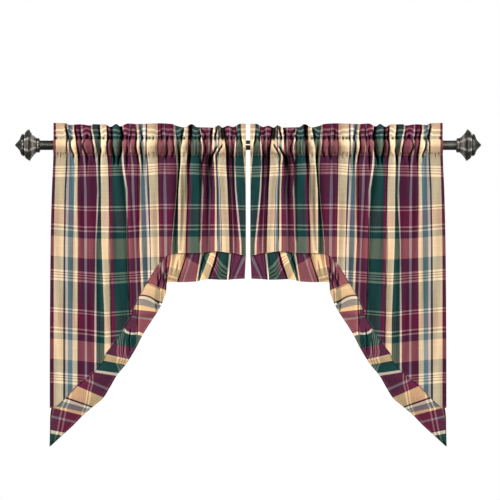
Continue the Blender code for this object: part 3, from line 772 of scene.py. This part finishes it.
def creases(table, out, up):
    """How deep a table's creases are at these points, and how much painted shade their slits get, less where
    the lips beside them get a painted highlight.
    """
    total, hollow = np.zeros(out.shape), np.zeros(out.shape)
    gathered = smooth_step((up - GATHERED_BELOW) / GATHERED_EASE)
    for outer_side, inner_side, knots in table:
        ups, outs, deeps = knots.T
        away = out - MARK * np.interp(-up / MARK, -ups, outs)
        past = np.maximum(-up / MARK + ups[-1], up / MARK - ups[0])
        deep = np.interp(-up / MARK, -ups, deeps) * np.clip(1.0 - past / CREASE_END, 0.0, 1.0)
        spread = np.where(away > 0.0, outer_side, inner_side)
        total += deep * bell(away, spread, CREASE_SHAPE)
        wide = np.where(spread < LONG_SLOPE, 2.0 - gathered, 1.0)
        shade = away / (np.minimum(spread, PAINTED_SHADE_REACH * wide) * (1.0 + PAINTED_SHADE_WIDER * gathered))
        # A painted highlight on the lips beside a narrow slit.
        painted_lip = PAINTED_HIGHLIGHT_SHARE * np.clip(2.0 - spread / 2.0, 0.0, 1.0)
        painted_slit = (1.0 + painted_lip) * bell(shade, 1.0, CREASE_SHAPE) - painted_lip * bell(shade, PAINTED_HIGHLIGHT_REACH, CREASE_SHAPE)
        hollow += deep * (1.0 + PAINTED_SHADE_DARKER * gathered) * painted_slit
    return total, hollow


def pinches(out, up):
    total = np.zeros(out.shape)
    for level, outs in PINCHES.items():
        near = bell(up - MARK * level, PINCH_HEIGHT)
        for place in outs:
            total += PINCH_DEPTH * near * bell(out - MARK * place, PINCH_WIDTH)
    return total


# Painted shade from 0 to 1, and below 0 a painted highlight on the lips beside a slit.
def painted_shade_and_highlight(hollow):
    painted_highlight = np.clip(hollow / PAINTED_SHADE_SPAN, PAINTED_HIGHLIGHT_LIMIT, 0.0)
    return painted_highlight + np.clip((hollow - PAINTED_SHADE_FROM) / PAINTED_SHADE_SPAN, 0.0, 1.0)


def relief(out, up):
    """How far the cloth lies behind its crests: the sum of the valleys and creases."""
    total = creases(PANEL_CREASES, out, up)[0] + pinches(out, up)
    for fold in FOLDS:
        total += fold_depth(fold, up) * bell(out - fold_place(fold, up), fold.half_width / 2.0, FOLD_SHAPE)
    return total


RIPPLES = ((0.7, 2.3, 90.0, 0.0), (0.5, 4.1, -60.0, 1.0))  # height, spread across and down, phase
RIPPLE_EASE = 80.0  # how far below the pocket the fall's ripples have grown whole


def cloth_back(out, up):
    """The middle of a single layer, front to back."""
    flat = flat_across(out, up)
    ripple = sum(high * np.sin(flat / wide + up / long + turn) for high, wide, long, turn in RIPPLES)
    eased = smooth_step((POCKET_FOOT - up) / RIPPLE_EASE)
    return relief(out, up) - CREST + puckers(flat, up) + ripple * eased


def pocket_hull(up):
    """Half the width of the space that the rod holds open in the pocket at these heights."""
    held = ROD_RADIUS + POCKET_EASE
    seam = np.where(up > 0.0, POCKET_TOP, -POCKET_FOOT)
    touch = held * held / seam
    at_touch = np.sqrt(held * held - touch * touch)
    on_rod = np.sqrt(np.maximum(held * held - up * up, 0.0))
    return np.where(np.abs(up) <= touch, on_rod, at_touch * (seam - np.abs(up)) / (seam - touch))


def soft_floor(value):
    """The value where it is well above zero, easing to zero below."""
    return np.log1p(np.exp(value))


TOP_EASE, FOOT_EASE = 5.3, 10.3  # how far from the upper and lower stitches the rod holds the cloth


def pocket_layers(out, up):
    """The middles of the pocket's front and back layers."""
    lift = cloth_back(out, up)
    on_rod = smooth_step((POCKET_TOP - up) / TOP_EASE) * smooth_step((up - POCKET_FOOT) / FOOT_EASE)
    hull = pocket_hull(up) + SEAT / 2.0
    puffed = -lift * blend(1.0, PUFF, on_rod)
    front = -hull - blend(puffed, soft_floor(puffed), on_rod)
    back = hull + blend(lift, soft_floor(lift + REAR_SLACK), on_rod)
    return front, back


def outer_edge(up):
    return follow(*zip(*OUTER_EDGE), np.asarray(up, float))


COLUMN_STEP = 1.7  # the most that two columns of the panel's grid lie apart over the rod
FOLD_ORDER = sorted(FOLDS, key=lambda fold: fold.out_rod)
SPANS = np.diff([INNER_EDGE] + [fold.out_rod for fold in FOLD_ORDER] + [OUTER_EDGE_TOP])
COLUMNS = np.concatenate(
    [[0.0]] + [n + np.arange(1, k + 1) / k for n, k in enumerate(np.ceil(SPANS / COLUMN_STEP).astype(int))]
)  # each column's place, counted in spans between fold valleys


def column_places(column, up):
    """How far out columns run at these heights, leaning with the folds they lie between."""
    edges = [np.full(up.shape, INNER_EDGE)] + [fold_place(fold, up) for fold in FOLD_ORDER] + [outer_edge(up)]
    edges = np.stack(edges)
    span = np.clip(np.floor(column).astype(int), 0, len(edges) - 2)
    first = np.take_along_axis(edges, span[None], 0)[0]
    last = np.take_along_axis(edges, span[None] + 1, 0)[0]
    return first + (last - first) * (column - span)


CORNER = Band(218.2, -307.0, *[0.0] * 8)
SEWN = INNER_BANDS[:-1] + [CORNER] + TAIL_BANDS[1:SEWN_ROWS]


def seam_up(out):
    """The height of the panel's cut edge, where the ruffle is sewn."""
    return follow([band.seam_out for band in SEWN], [band.seam_up for band in SEWN], out)


EDGE_TRIES = 8


def lower_edge():
    """(out, up) of the panel's lower edge on each column, found step by step."""
    up = np.full(COLUMNS.shape, LOW_LEVEL)
    for _ in range(EDGE_TRIES):
        out = column_places(COLUMNS, up)
        up = seam_up(out)
    return out, up


class Shell:
    """A closed skin of quads under construction, with the flat cloth's place at every corner."""

    def __init__(self):
        self.points, self.faces, self.cloth, self.hollow = [], [], [], []

    def grid(self, out, back, up, hollow=0.0):
        """Adds a row-and-column grid of points and returns their numbers."""
        start = len(self.points)
        self.hollow += (np.zeros(out.shape) + hollow).ravel().tolist()
        self.points += np.stack([out, back, up], -1).reshape(-1, 3).tolist()
        return start + np.arange(out.size).reshape(out.shape)

    def skin(self, numbers, across, down):
        """Quads over a grid of point numbers, with the cloth's place at each."""
        def corners(grid):
            return np.stack([grid[:-1, :-1], grid[:-1, 1:], grid[1:, 1:], grid[1:, :-1]], -1).reshape(-1, 4)

        self.faces += corners(numbers).tolist()
        self.cloth += np.stack([corners(across), corners(down)], -1).reshape(-1, 2).tolist()

    def face(self, numbers, across, down):
        self.faces.append([int(n) for n in numbers])
        self.cloth += [[float(across), float(down)]] * len(numbers)

    def mesh(self, name, side):
        points = np.array(self.points) * (side * MM, MM, MM)
        mesh = bpy.data.meshes.new(name)
        mesh.from_pydata(points.tolist(), [], self.faces)
        cloth = mesh.uv_layers.new(name="cloth")
        cloth.data.foreach_set("uv", np.array(self.cloth, np.float32).ravel())
        # Each point's painted shade and painted highlight, for the cloth's material.
        hollow = mesh.attributes.new("hollow", "FLOAT", "POINT")
        hollow.data.foreach_set("value", np.array(self.hollow, np.float32))
        builder = bmesh.new()
        builder.from_mesh(mesh)
        bmesh.ops.recalc_face_normals(builder, faces=builder.faces)
        builder.to_mesh(mesh)
        builder.free()
        return mesh


HEADER_STEPS, POCKET_STEPS, FALL_STEPS = 16, 20, 64
FALL_SPACING = 1.3  # the fall's rows lie closer together near the pocket
SIDE_HEM, HEM_EXTRA = 12.0, 0.9  # the double-turned hems down the panel's sides: width, added thickness
RIDGE = 0.6  # how far the fold at the header's top edge stands up


def panel_shell():
    """One panel's skin in the half's own places."""
    shell = Shell()
    count = len(COLUMNS)
    tops = follow(*zip(*HEADER_TOP), column_places(COLUMNS, np.full(count, HEADER_LEVEL)))
    hem_up, edge_up = POCKET_FOOT - POCKET_HEM, lower_edge()[1]
    ups = [blend(tops, POCKET_TOP, n / HEADER_STEPS) for n in range(HEADER_STEPS + 1)]
    levels = [blend(POCKET_TOP, POCKET_FOOT, n / POCKET_STEPS) for n in range(1, POCKET_STEPS + 1)]
    ups += [np.full(count, level) for level in [*levels, hem_up]]
    ups += [blend(hem_up, edge_up, n) for n in (np.arange(1, FALL_STEPS + 1) / FALL_STEPS) ** FALL_SPACING]
    up = np.stack(ups)
    out = column_places(np.broadcast_to(COLUMNS, up.shape), up)
    top_row, foot_row = HEADER_STEPS, HEADER_STEPS + POCKET_STEPS
    hem_row = foot_row + 1
    header, pocket, fall = slice(0, top_row), slice(top_row, foot_row + 1), slice(foot_row + 1, None)

    middle = cloth_back(out, up)
    half = np.where(np.arange(len(up)) <= hem_row, LAYER, LAYER / 2.0)[:, None]
    at_side = (out < INNER_EDGE + SIDE_HEM) | (out > outer_edge(up) - SIDE_HEM)
    front_back, rear_back = middle - half, middle + half + np.where(at_side, HEM_EXTRA, 0.0)
    near, far = pocket_layers(out[pocket], up[pocket])
    front_back[pocket], rear_back[pocket] = near - LAYER / 2.0, far + LAYER / 2.0
    for row in (top_row, foot_row):
        front_back[row], rear_back[row] = middle[row] - LAYER, middle[row] + LAYER
    across = CLOTH_UNIT * flat_across(out, up)
    down = MM * flat_down(out, up)
    turned_down = 2.0 * down[0] - down  # the rear layer's cloth, past the fold at the top

    # Painted shade in the creases' slits and at the pinches, with painted highlights on the lips, on the
    # front skin alone.
    shade = painted_shade_and_highlight(creases(PANEL_CREASES, out, up)[1] + PINCH_PAINTED_SHADE * pinches(out, up))
    front, rear = shell.grid(out, front_back, up, shade), shell.grid(out, rear_back, up)
    ridge = shell.grid(out[:1], middle[:1], up[:1] + RIDGE)
    inside = slice(top_row + 1, foot_row)
    tunnel_front = shell.grid(out[inside], near[1:-1] + LAYER / 2.0, up[inside])
    tunnel_rear = shell.grid(out[inside], far[1:-1] - LAYER / 2.0, up[inside])
    ceiling, floor = (shell.grid(out[[row]], middle[[row]], up[[row]]) for row in (top_row, foot_row))
    tunnel_front = np.concatenate([ceiling, tunnel_front, floor])
    tunnel_rear = np.concatenate([ceiling, tunnel_rear, floor])

    turn = slice(0, hem_row + 1)
    shell.skin(front, across, down)
    shell.skin(rear[turn], across[turn], turned_down[turn])
    shell.skin(rear[hem_row:], across[hem_row:], down[hem_row:])
    shell.skin(tunnel_front, across[pocket], down[pocket])
    shell.skin(tunnel_rear, across[pocket], turned_down[pocket])
    for row, first, second in ((0, front[:1], ridge), (0, ridge, rear[:1]), (-1, front[-1:], rear[-1:])):
        shell.skin(np.concatenate([first, second]), across[[row, row]], down[[row, row]])
    for n in (0, -1):  # the two side edges
        for rows, first, second in (
            (header, front[header], rear[header]), (pocket, front[pocket], tunnel_front),
            (pocket, tunnel_rear, rear[pocket]), (fall, front[fall], rear[fall]),
        ):
            numbers = np.stack([first[:, n], second[:, n]])
            shell.skin(numbers, np.stack([across[rows, n]] * 2), np.stack([down[rows, n]] * 2))
        shell.face((front[0, n], ridge[0, n], rear[0, n]), across[0, n], down[0, n])
        for row, past, seam in ((top_row, top_row - 1, ceiling), (foot_row, foot_row + 1, floor)):
            corners = (front[past, n], front[row, n], seam[0, n], rear[row, n], rear[past, n])
            shell.face(corners, across[row, n], down[row, n])
    return shell


CLOTH_SMOOTH = 60.0  # cloth is shaded smooth across bends below this many degrees


def place_cloth(piece, shell, finish, slot):
    """Places a cloth piece in both halves."""
    made = {}
    for word, side in SIDES:
        name = f"drape_{piece}_{word}"
        made[word] = place_piece(
            name, shell.mesh(name, side), finish, slot, f"{piece}_{word}", smooth_below=CLOTH_SMOOTH
        )
    return made


PANELS = place_cloth("panel", panel_shell(), PLAID, "plaid_cotton")

# ---- The ruffles --------------------
# A crosswise strip of the same cotton with a narrow rolled hem, gathered a little and sewn along the
# swag and tail edge. At the corner the strip along the swag laps over the strip that runs down the tail.

STATION_STEP = 1.4  # the most that two lines of the ruffle's grid lie apart along the strip
RUFFLE_STEPS = 44  # of the grid across the strip
SEAM_LAP = 2.5  # how far the ruffle reaches behind the panel's edge
HEM_ROLL = 0.94  # share of the way across where the rolled hem starts
GATHERS = ((3.4, 0.4, 0.55), (5.3, 1.7, 0.4), (2.3, 2.6, 0.25))  # wavelength in CLOTH_UNIT, phase, height
LEAST_STEPS = 3  # from one line of a band table to the next
INNER_LIFT = 0.8  # how far the strip along the swag stands before the strip down the tail at the corner
BEND_SPAN = 0.75  # how far across the ruffle a bent line reaches
SEAM_PAINTED_SHADOW, SEAM_SHADOW_REACH = 8.0, 0.05  # the painted shadow where it comes out from under the panel's edge: a crease's depth, reach
TUCK, TUCK_REACH = 0.5, 0.05  # the gap behind the panel where it is tucked in, and how far across that goes
BOW = 2.2  # how far the ruffle's middle bows forward
GATHER_REACH = 0.35  # how far across the ruffle the gathers fade
CREASES_FROM = 0.1  # where across the ruffle the creases have grown whole
HEM_HALF = 0.95  # half the rolled hem's thickness
SEAM_WEFT = 269.0  # the weft's place at the head of the ruffle's strip
RUFFLE_CREASES = crease_rows(
    (1.6, 3, (-108, 61.8, 3), (-113, 62.6, 3.5), (-119, 64.4, 3.5), (-125, 66.4, 3.5), (-131, 68.4, 5),
        (-135, 69.6, 5)),
    (3, 2.5, (-108, 42.5, 3), (-113.5, 43.6, 4), (-120, 46.2, 4), (-127, 47.6, 4.5), (-134, 48.6, 3)),
    (1.6, 3.5, (-108, 31.2, 5), (-114, 32.2, 6), (-119, 33.3, 6), (-124, 35.2, 5), (-129, 37.2, 4),
        (-134, 38.4, 4)),
    (1.6, 2.5, (-117, 17.6, 1), (-125, 17.6, 3), (-130, 18.2, 5), (-134, 19.1, 4)),
    (1.5, 1.5, (-110, 77.3, 2), (-117, 77.8, 4), (-123, 79.1, 4), (-128, 79.4, 1)),
    (3, 3, (-110, 69.6, 1), (-117, 70.1, 3), (-123, 70.6, 3), (-127, 71.1, 1)),
    (2.5, 2.5, (-108, 60.1, 2), (-112, 60.6, 4), (-118, 61.2, 2)),
)
TAIL_CREASES = crease_rows(
    (1.8, 1.2, (-110, 81, 4), (-119, 81.6, 8), (-123, 81.9, 6), (-129, 81.3, 4), (-136, 81.4, 6),
        (-139, 81.6, 2)),
    (1.4, 1.4, (-122, 83.6, 1), (-130, 83.8, 3), (-138, 84, 3), (-143, 83.8, 1.5)),
    (2, 1.5, (-116, 86.6, 4), (-118, 86.4, 3), (-125, 86.8, 4), (-132, 87, 4), (-137, 88, 4),
        (-141, 89.4, 3)),
    (2.5, 2, (-130, 89.6, 3), (-134, 89.8, 5), (-138, 89.2, 4)),
    (1.3, 1.3, (-137, 83, 2), (-141, 82.6, 4), (-144, 82.6, 3)),
    (4.5, 4.5, (-136.5, 102.5, 2), (-139.5, 97.5, 3), (-142, 92.5, 3.4), (-143.5, 88, 3)),
    (3, 2.5, (-154, 91.2, 0.5), (-156, 90.4, 2), (-158, 89.4, 5)),
    (1.6, 1.2, (-147, 85.8, 0.5), (-151, 85.8, 1.5), (-156, 85.8, 1.8), (-159, 85.6, 6)),
    (1.6, 1.6, (-151, 109.3, 1.5), (-158, 109.5, 3), (-167, 109.8, 4), (-177, 110.3, 4), (-188, 110.3, 4)),
    (3, 2, (-160, 91.6, 2.4), (-165, 91.1, 2.8)),
    (1.6, 1.6, (-183, 117.1, 2), (-188, 117.6, 5), (-195, 118.6, 3), (-205, 118.1, 3)),
    (1.6, 2, (-185, 123.6, 2), (-193, 123.1, 3), (-205, 124.1, 3), (-212, 125.1, 1)),
)


def run_of(line):
    """The unit direction of a line of (out, up) points."""
    run = np.gradient(line, axis=1)
    return run / np.hypot(*run)


def flounce(shell, bands, lift, creased):
    """One strip of the ruffle, as a closed sheet whose rows run from the seam to the hem."""
    table = np.array(bands, float)
    middles = (table[:, 0:2] + table[:, 2:4]) / 2.0
    lengths = np.hypot(*np.diff(middles, axis=0).T)
    steps = np.maximum(LEAST_STEPS, np.ceil(lengths / STATION_STEP)).astype(int)
    station = np.concatenate([[0.0]] + [n + np.arange(1, k + 1) / k for n, k in enumerate(steps)])
    keys = np.arange(len(bands))
    column = {name: follow(keys, table[:, n], station) for n, name in enumerate(Band._fields[:5])}
    flat_seam, flat_hem, weft_seam, weft_hem, bend = (
        np.interp(station, keys, places) for places in table.T[5:]
    )
    sewn = station <= keys[-1] + SEWN_ROWS if bands is TAIL_BANDS else np.ones(station.shape, bool)
    column["seam_up"] = np.where(sewn, seam_up(column["seam_out"]), column["seam_up"])

    edge = np.stack([column["seam_out"], column["seam_up"]])
    run = run_of(edge)
    lap = np.where(sewn, SEAM_LAP, 0.0)
    seam_out, seam_height = edge[0] - lap * run[1], edge[1] + lap * run[0]
    seam_back = cloth_back(*edge)

    share = np.linspace(0.0, 1.0, RUFFLE_STEPS + 1)[:, None]
    out = blend(seam_out, column["hem_out"], share)
    up = blend(seam_height, column["hem_up"], share)
    bent = bend * np.sin(math.pi * np.minimum(share / BEND_SPAN, 1.0))
    flat = blend(flat_seam, flat_hem, share) + bent
    tucked = np.where(sewn, LAYER + TUCK + lift, 0.0) * bell(share, TUCK_REACH)
    gathered = waves(GATHERS, flat) * np.exp(-share / GATHER_REACH)
    back = blend(seam_back, column["hem_back"], smooth_step(share)) - lift
    back = back + tucked - BOW * np.sin(math.pi * share) + gathered
    half = np.where(share >= HEM_ROLL, HEM_HALF, LAYER / 2.0)
    deep, hollow = creases(creased, out, up)
    # Painted shadow along the seam, under the panel's edge.
    hollow += SEAM_PAINTED_SHADOW * np.exp(-share / SEAM_SHADOW_REACH)
    back = back + deep * np.clip(share / CREASES_FROM, 0.0, 1.0)
    across = CLOTH_UNIT * flat
    down = WEFT_START + CLOTH_UNIT * (blend(weft_seam, weft_hem, share) - SEAM_WEFT)
    front = shell.grid(out, back - half, up, painted_shade_and_highlight(hollow))
    rear = shell.grid(out, back + half, up)
    shell.skin(front, across, down)
    shell.skin(rear, across, down)
    for n in (0, -1):
        shell.skin(np.stack([front[n], rear[n]]), across[[n, n]], down[[n, n]])
        shell.skin(np.stack([front[:, n], rear[:, n]]), across[:, [n, n]].T, down[:, [n, n]].T)
    return out, back - half, up


ruffle_shell = Shell()
inner_front = flounce(ruffle_shell, INNER_BANDS, INNER_LIFT, RUFFLE_CREASES)
tail_front = flounce(ruffle_shell, TAIL_BANDS, 0.0, TAIL_CREASES)
RUFFLES = place_cloth("ruffle", ruffle_shell, RUFFLE_PLAID, "ruffle_cotton")

# ---- The stitches --------------------
# Tan cotton thread: one row under the header, one under the pocket, one along the panel's edge over the
# ruffle's seam and one that holds the ruffle's rolled hem.

STITCH_PITCH, STITCH_LENGTH, THREAD_RADIUS = 4.2, 3.2, 0.22
EDGE_INSET = 3.0  # how far inside the panel's edge its stitches run
FIBRE_SCALE, FIBRE_DEPTH = 1800.0, 0.0001
DARK_THREAD, PALE_THREAD = (0.30, 0.20, 0.13, 1.0), (0.46, 0.33, 0.22, 1.0)


def thread_finish():
    finish = Finish("tan_thread", Roughness=0.8, Specular_IOR_Level=0.3)
    fibre = finish.noise(finish.object_place(), FIBRE_SCALE, 1.0)
    finish.set("Base Color", finish.mix(fibre, DARK_THREAD, PALE_THREAD))
    finish.bump(fibre, FIBRE_DEPTH)
    return finish.material


THREAD = thread_finish()


def stitching_tree():
    """Geometry nodes that lay a short plump stitch at each pitch along a line."""
    tree = bpy.data.node_groups.new("stitching", "GeometryNodeTree")

    def socket(name, kind, way="INPUT"):
        return tree.interface.new_socket(name=name, in_out=way, socket_type="NodeSocket" + kind).identifier

    socket("Line", "Geometry")  # it comes first, because the modifier feeds its curve to the first input
    sockets = {name: socket(name, "Float") for name in ("Pitch", "Length", "Radius")}
    sockets["Thread"] = socket("Thread", "Material")
    socket("Stitches", "Geometry", "OUTPUT")

    def add(kind, links=None, **settings):
        node = tree.nodes.new(kind)
        for name, value in settings.items():
            setattr(node, name, value)
        for key, source in (links or {}).items():
            if hasattr(source, "is_output"):
                tree.links.new(source, node.inputs[key])
            else:
                node.inputs[key].default_value = source
        return node

    given = add("NodeGroupInput").outputs
    line = add("GeometryNodeResampleCurve", {"Curve": given["Line"], "Length": given["Pitch"]}, mode="LENGTH")
    ball = add("GeometryNodeMeshUVSphere", {"Segments": 6, "Rings": 4, "Radius": 1.0})
    tangent = add("GeometryNodeInputTangent")
    turn = add("FunctionNodeAlignRotationToVector", {"Vector": tangent.outputs[0]}, axis="Z")
    size = add("ShaderNodeCombineXYZ", {0: given["Radius"], 1: given["Radius"], 2: given["Length"]})
    laid = add("GeometryNodeInstanceOnPoints", {
        "Points": line.outputs[0], "Instance": ball.outputs["Mesh"], "Rotation": turn.outputs[0],
        "Scale": size.outputs[0],
    })
    real = add("GeometryNodeRealizeInstances", {0: laid.outputs[0]})
    dyed = add("GeometryNodeSetMaterial", {"Geometry": real.outputs[0], "Material": given["Thread"]})
    end = add("NodeGroupOutput")
    tree.links.new(dyed.outputs[0], end.inputs[0])
    return tree, sockets


STITCHING, STITCH_SOCKETS = stitching_tree()


def stitches(name, lines, side):
    """One piece of thread from lines of (out, back, up) points that lie on the cloth."""
    curve = bpy.data.curves.new(name, "CURVE")
    curve.dimensions = "3D"
    for line in lines:
        spline = curve.splines.new("POLY")
        spline.points.add(len(line) - 1)
        points = np.concatenate([np.array(line) * (side * MM, MM, MM), np.ones((len(line), 1))], 1)
        spline.points.foreach_set("co", points.ravel())
    path = add_object(name + "_path", curve)
    modifier = path.modifiers.new("stitching", "NODES")
    modifier.node_group = STITCHING
    modifier[STITCH_SOCKETS["Pitch"]] = STITCH_PITCH * MM
    modifier[STITCH_SOCKETS["Length"]] = STITCH_LENGTH * MM / 2.0
    modifier[STITCH_SOCKETS["Radius"]] = THREAD_RADIUS * MM
    modifier[STITCH_SOCKETS["Thread"]] = THREAD
    evaluated = path.evaluated_get(bpy.context.evaluated_depsgraph_get())
    mesh = bpy.data.meshes.new_from_object(evaluated)
    mesh.name = name
    bpy.data.objects.remove(path)
    return mesh


panel_lines = []
for height in (POCKET_TOP, POCKET_FOOT):
    heights = np.full(COLUMNS.shape, height)
    outs = column_places(COLUMNS, heights)
    panel_lines.append(np.stack([outs, cloth_back(outs, heights) - LAYER, heights], 1))
edge = np.stack(lower_edge())
run = run_of(edge)
outs, ups = edge[0] - EDGE_INSET * run[1], edge[1] + EDGE_INSET * run[0]
panel_lines.append(np.stack([outs, cloth_back(outs, ups) - LAYER / 2.0, ups], 1))
row = int(HEM_ROLL * RUFFLE_STEPS) - 1
ruffle_lines = [np.stack([line[row] for line in front], 1) for front in (inner_front, tail_front)]

for word, side in SIDES:
    for piece, lines, slot in (
        ("panel", panel_lines, "plaid_cotton"), ("ruffle", ruffle_lines, "ruffle_cotton"),
    ):
        name = f"{piece}_stitches_{word}"
        place_piece(name, stitches(name, lines, side), THREAD, slot)

# ---- The room --------------------
# A plain pale floor well below, soft light from the front, the back and both sides, and a camera square
# to the drapes.

FLOOR_LEVEL, FLOOR_REACH = -1.6, 3.0
LENS, SENSOR = 203.5, 36.0
CAMERA_PLACE = (0.0054, -8.0, -0.297)
SEEN_LIGHT, LIT_LIGHT = 1.0, 0.15  # how bright the world looks to the camera, and how much it lights the part

builder = bmesh.new()
bmesh.ops.create_grid(
    builder, x_segments=1, y_segments=1, size=FLOOR_REACH, matrix=Matrix.Translation((0, 0, FLOOR_LEVEL))
)
floor_mesh = finished_mesh("floor", builder)
floor_mesh.materials.append(Finish("pale_floor", Roughness=0.9, Base_Color=(0.78, 0.77, 0.75, 1.0)).material)
room_floor = add_object("floor", floor_mesh)
room_floor.visible_diffuse = room_floor.visible_glossy = False  # it is seen, but casts no light back up


def add_light(name, kind, strength, source, aim=(0.0, 0.0, 0.0), **settings):
    """A light at its source that shines towards its aim."""
    light = bpy.data.lights.new(name, kind)
    light.energy = strength
    for setting, value in settings.items():
        setattr(light, setting, value)
    added = add_object(name, light)
    added.location = source
    added.rotation_euler = (Vector(aim) - Vector(source)).to_track_quat("-Z", "Y").to_euler()
    return added


def lit_alone(name, pieces):
    """A collection of the pieces that a light falls on."""
    group = bpy.data.collections.new(name)
    for piece in pieces:
        group.objects.link(piece)
    return group


def add_sun(name, strength, softness, source, group):
    """A far light that falls on one group of pieces alone."""
    sun = add_light(name, "SUN", strength, source, angle=math.radians(softness))
    sun.light_linking.receiver_collection = group


add_light("front", "AREA", strength=16.0, source=(0.0, -3.6, 1.3), aim=(0.0, 0.0, -0.25), size=1.6)
add_light("rear", "AREA", strength=90.0, source=(0.0, 3.4, 1.4), aim=(0.0, 0.0, -0.3), size=2.2)

# The floor has its own light from straight above, which keeps it pale. Each half has a side light that
# falls on that half alone. The metal has three of its own, to show its flats.
PIECES = [piece for piece in bpy.context.scene.objects if piece.type == "MESH"]
SIDE_LIGHT = {"strength": 5.0, "softness": 24.0}
METAL_LIGHT = {"strength": 1.15, "softness": 80.0}
FRONT_SHINE = {"strength": 1.3, "softness": 5.0}
GROUND = lit_alone("ground", [room_floor])
add_sun("ground", strength=2.3, softness=40.0, source=(0.0, 0.0, 1.0), group=GROUND)
for word, side in SIDES:
    half = [piece for piece in PIECES if piece.name.endswith(word) or piece.name == "drape_rod"]
    source = (0.72 * side, -0.60, 0.35)
    add_sun(f"side_{word}", **SIDE_LIGHT, source=source, group=lit_alone(f"half_{word}", half))
METAL = lit_alone("metal", [piece for piece in PIECES if piece.data.materials[0] == BRONZE])
for word, side in SIDES:
    add_sun(f"metal_{word}", **METAL_LIGHT, source=(-0.75 * side, -0.75, 0.45), group=METAL)
add_sun("metal_front", **FRONT_SHINE, source=(0.0, -1.0, 0.07), group=METAL)

world = bpy.data.worlds.new("room")
bpy.context.scene.world = world
world.use_nodes = True
sky, link = world.node_tree.nodes, world.node_tree.links.new
seen, lit = sky["Background"], sky.new("ShaderNodeBackground")
for background, strength in ((seen, SEEN_LIGHT), (lit, LIT_LIGHT)):
    background.inputs["Color"].default_value = (1.0, 1.0, 1.0, 1.0)
    background.inputs["Strength"].default_value = strength
ray, either = sky.new("ShaderNodeLightPath"), sky.new("ShaderNodeMixShader")
link(ray.outputs["Is Camera Ray"], either.inputs[0])
link(lit.outputs[0], either.inputs[1])
link(seen.outputs[0], either.inputs[2])
link(either.outputs[0], sky["World Output"].inputs[0])

camera = bpy.data.cameras.new("camera")
camera.lens, camera.sensor_width = LENS, SENSOR
view = add_object("camera", camera)
view.location, view.rotation_euler = CAMERA_PLACE, (math.radians(90.0), 0.0, 0.0)
bpy.context.scene.camera = view
bpy.context.scene.view_settings.view_transform = "Standard"
